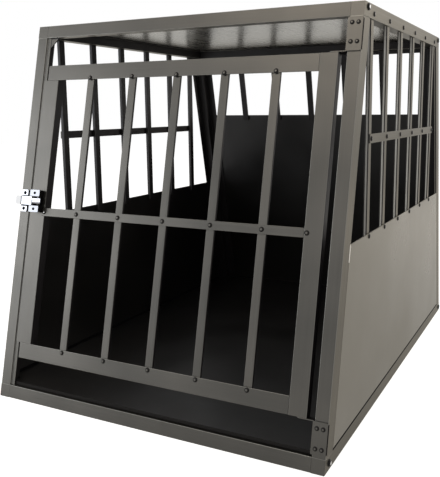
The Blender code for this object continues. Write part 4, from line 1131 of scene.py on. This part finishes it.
def buildLever():
    # Chromed lever: a boss on the pin, a grooved arm, and a head with a hook and a finger tab
    left = latch["headInset"] - halfWidth
    right = left + latch["headLength"]
    top = -latch["headTop"]
    under = top + latch["headSheet"]
    inside = under - latch["headSheet"] / 2
    centre = (leverX, -latch["pinRise"])
    span = around(latchCentre, latch["armHeight"])
    boss = sweep([circle(centre, latch["boss"], 32), circle(centre, latch["pin"] + gap, 24)], upright(*span))
    armX = ((left + right) / 2, leverX - latch["pin"] - 2 * gap)
    arm = boxMesh(armX, (inside, inside + latch["armThickness"]), span)
    low, high = around(latchCentre, latch["headHeight"])
    head = sweep([rectangle(left, right, low, high)], facing(top, under), latch["headCorner"], 4)
    inset = latch["wallInset"]
    walls = [boxMesh((left + inset, right - inset), (inside, under + latch["wallDrop"]), ends)
             for ends in ((high - latch["headWall"], high - hair), (low + hair, low + latch["headWall"]))]
    lean, foot = latch["tabLean"], latch["tabFoot"]
    base = top + latch["tab"]
    tabX = left + bite

    def leaning(thickness):
        # A plate that leaves the head's left end outwards at the tab's lean
        return lambda a, b, end: (tabX - a * math.sin(lean) + end * thickness * math.cos(lean),
                                  base - a * math.cos(lean) - end * thickness * math.sin(lean), b)

    def alongTab(centre):
        return (tabX - centre.x) * math.sin(lean) + (base - centre.y) * math.cos(lean)

    tabZ = around(latchCentre, latch["tabHeight"])
    tab = [sweep([rectangle(-past, foot + bite, *tabZ)], leaning(latch["tab"] - latch["tabStep"])),
           sweep([rectangle(foot, latch["tabReach"], *tabZ)], leaning(latch["tab"]), latch["tabCorner"], 5)]
    toothLeft = -innerSide - latch["toothInset"] - latch["toothWidth"] - latch["hookGap"]
    toothTop = -gap - latch["keeperSheet"] - latch["toothHeight"]
    hookEnd = -latch["hookFoot"]
    nose = toothLeft + (hookEnd - toothTop) * math.tan(latch["undercut"])
    hook = sweep([[(left, inside), (toothLeft, inside), (toothLeft, toothTop), (nose, hookEnd), (left, hookEnd)]],
                 upright(low + inset, high - inset))
    plateTop = -latch["pinRise"] - latch["boss"] - 2 * hair
    armEnd = leverX + latch["armReach"]
    armPlate = boxMesh((right - past, armEnd), (plateTop, plateTop + latch["armPlate"]), span)
    groove = boxMesh((right + latch["grooveStart"], armEnd + past), (plateTop - past, plateTop + latch["grooveDepth"]),
                     around(latchCentre, latch["groove"]))
    # Painted light on the tab; painted shade on the boss's right side and the tab's bend
    settle("latchLever", boss, "latch_lever", body="lever", joins=[arm, armPlate, head, hook] + tab + walls,
           cutsAfter=[groove], edge=latch["leverEdge"],
           paints=[(tabChrome, lambda centre, normal: alongTab(centre) > foot),
                   (sealedEdge, lambda centre, normal: centre.x > leverX - past and normal.x > 0.2
                    or centre.x < left and alongTab(centre) <= foot and normal.y < -0.3)], **latchLook)


for side, sign in (("left", -1), ("right", 1)):
    buildSideRails(side, sign)
    buildSideWall(side, sign)
buildCrossRails()
buildPosts()
buildRearWall()
buildRoofAndFloor()
buildGusset()
print("crate frame, boards and bars built")
buildDoor()
buildHinges()
print("door and hinges built")
keeperScrews = buildKeeper()
bodyScrews = buildLatchBody()
buildLever()
print("latch built")

pinHeads("frameRivets", frameRivets, "frame", rivetHead, rivets, rivetSteel)
pinHeads("hingeRivets", hingeRivets, "frame", rivetHead, bracketRivets, rivetSteel)
pinHeads("doorRivets", doorRivets, "door", rivetHead, rivets, rivetSteel)
pinHeads("doorScrews", doorScrews, "door", rivetHead, rivets, boltSteel)
pinHeads("frameBolts", frameBolts, "frame", boltHead, bolts, boltSteel)
pinHeads("keeperScrews", keeperScrews, "frame", screwHead, latchScrews["keeper"], sealedEdge)
pinHeads("latchScrews", bodyScrews, "door", screwHead, latchScrews["body"], sealedEdge)
for helper in (rivetHead, boltHead, screwHead):
    bpy.data.objects.remove(helper)
print("rivets, bolts and screws set")

# CAD nodes that keep their own shape
carried = {
    drawnSteel: ["latch_spring"],
    blackenedSteel: ["latch_pin", "upper_hinge_pin", "lower_hinge_pin"],
    mouldedNylon: ["upper_hinge_bush", "lower_hinge_bush"],
}
for material, names in carried.items():
    for name in names:
        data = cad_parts[name].data
        data.materials.clear()
        data.materials.append(material)

lighting = {
    "world": 0.35,  # light on matt surfaces; camera and mirror rays see white
    "lamps": [
        # name, place, size in metres, radiance, colour
        ("softboxLeft", (-2.9, -2.2, 0.9), 1.8, 5.2, "f4f8ff"),
        ("softboxFront", (-0.5, -2.3, 2.4), 1.1, 4.6, "fff2e2"),
        ("softboxRight", (2.5, 2.3, 1.9), 2.0, 4.2, "fff6ea"),
    ],
    "aim": (0, 0, 0.35),
}
floorLook = {"size": 16, "colour": "f0efec", "lift": 0.75, "mirroredLift": 0.35, "drop": 0.2 * mm}


def buildSurroundings():
    world = bpy.data.worlds.new("studio")
    bpy.context.scene.world = world
    world.use_nodes = True
    tree = world.node_tree
    tree.nodes.clear()
    rays = addNode(tree, "ShaderNodeLightPath", out=None)
    seen = rays["Is Camera Ray"]
    for other in ("Is Glossy Ray", "Is Transmission Ray"):
        seen = addNode(tree, "ShaderNodeMath", {0: seen, 1: rays[other]}, operation="MAXIMUM")
    strength = addNode(tree, "ShaderNodeMapRange", {"Value": seen, "To Min": lighting["world"], "To Max": 1.0})
    sky = addNode(tree, "ShaderNodeBackground", {"Color": (1, 1, 1, 1), "Strength": strength})
    addNode(tree, "ShaderNodeOutputWorld", {"Surface": sky}, out=None)

    for name, place, size, radiance, colour in lighting["lamps"]:
        lamp = bpy.data.lights.new(name, "AREA")
        lamp.shape = "SQUARE"
        lamp.size = size
        lamp.color = toLinear(colour)[:3]
        lamp.energy = math.pi * size * size * radiance
        item = makeItem(name, lamp)
        item.location = place
        item.rotation_euler = (Vector(lighting["aim"]) - Vector(place)).to_track_quat("-Z", "Y").to_euler()
        item.visible_camera = False

    half = floorLook["size"] / 2
    mesh = bpy.data.meshes.new("studioFloor")
    mesh.from_pydata([(a, b, 0) for a, b in rectangle(-half, half, -half, half)], [], [(0, 1, 2, 3)])
    ground = makeItem("studioFloor", mesh)
    ground.location.z = -floorLook["drop"]
    material, tree = newMaterial("paleFloor")
    rays = addNode(tree, "ShaderNodeLightPath", out=None)
    mirrored = addNode(tree, "ShaderNodeMath", {0: rays["Is Glossy Ray"], 1: floorLook["mirroredLift"]},
                       operation="MULTIPLY")
    lift = addNode(tree, "ShaderNodeMath", {0: rays["Is Camera Ray"], 1: floorLook["lift"], 2: mirrored},
                   operation="MULTIPLY_ADD")
    matt = addNode(tree, "ShaderNodeBsdfDiffuse", {"Color": toLinear(floorLook["colour"])})
    glow = addNode(tree, "ShaderNodeEmission", {"Strength": lift})
    both = addNode(tree, "ShaderNodeAddShader", {0: matt, 1: glow})
    addNode(tree, "ShaderNodeOutputMaterial", {"Surface": both}, out=None)
    mesh.materials.append(material)


view = {
    "place": (0.6211, -1.3051, 0.5311),
    "yaw": math.radians(26.5766),
    "pitch": math.radians(9.1816),  # downwards
    "roll": math.radians(-0.4406),
    "focalPixels": 658.36,
    "centre": (243.61, 217.08),  # where the optical axis meets the picture
    "picture": (440, 477),
}


def buildCamera():
    yaw, pitch, roll = view["yaw"], view["pitch"], view["roll"]
    right = Vector((math.cos(yaw), math.sin(yaw), 0))
    ahead = Vector((-math.sin(yaw) * math.cos(pitch), math.cos(yaw) * math.cos(pitch), -math.sin(pitch)))
    up = right.cross(ahead)
    tilted = right * math.cos(roll) + up * math.sin(roll)
    up = up * math.cos(roll) - right * math.sin(roll)
    data = bpy.data.cameras.new("camera")
    item = makeItem("camera", data)
    item.matrix_world = Matrix.Translation(view["place"]) @ Matrix((tilted, up, -ahead)).transposed().to_4x4()
    wide, high = view["picture"]
    data.sensor_width = 36
    data.lens = view["focalPixels"] * data.sensor_width / high
    data.shift_x = (wide / 2 - view["centre"][0]) / high
    data.shift_y = (view["centre"][1] - high / 2) / high
    data.clip_start = 0.02
    bpy.context.scene.camera = item


buildSurroundings()
buildCamera()
bpy.context.scene.view_settings.view_transform = "Standard"
print("camera, lamps and floor set")
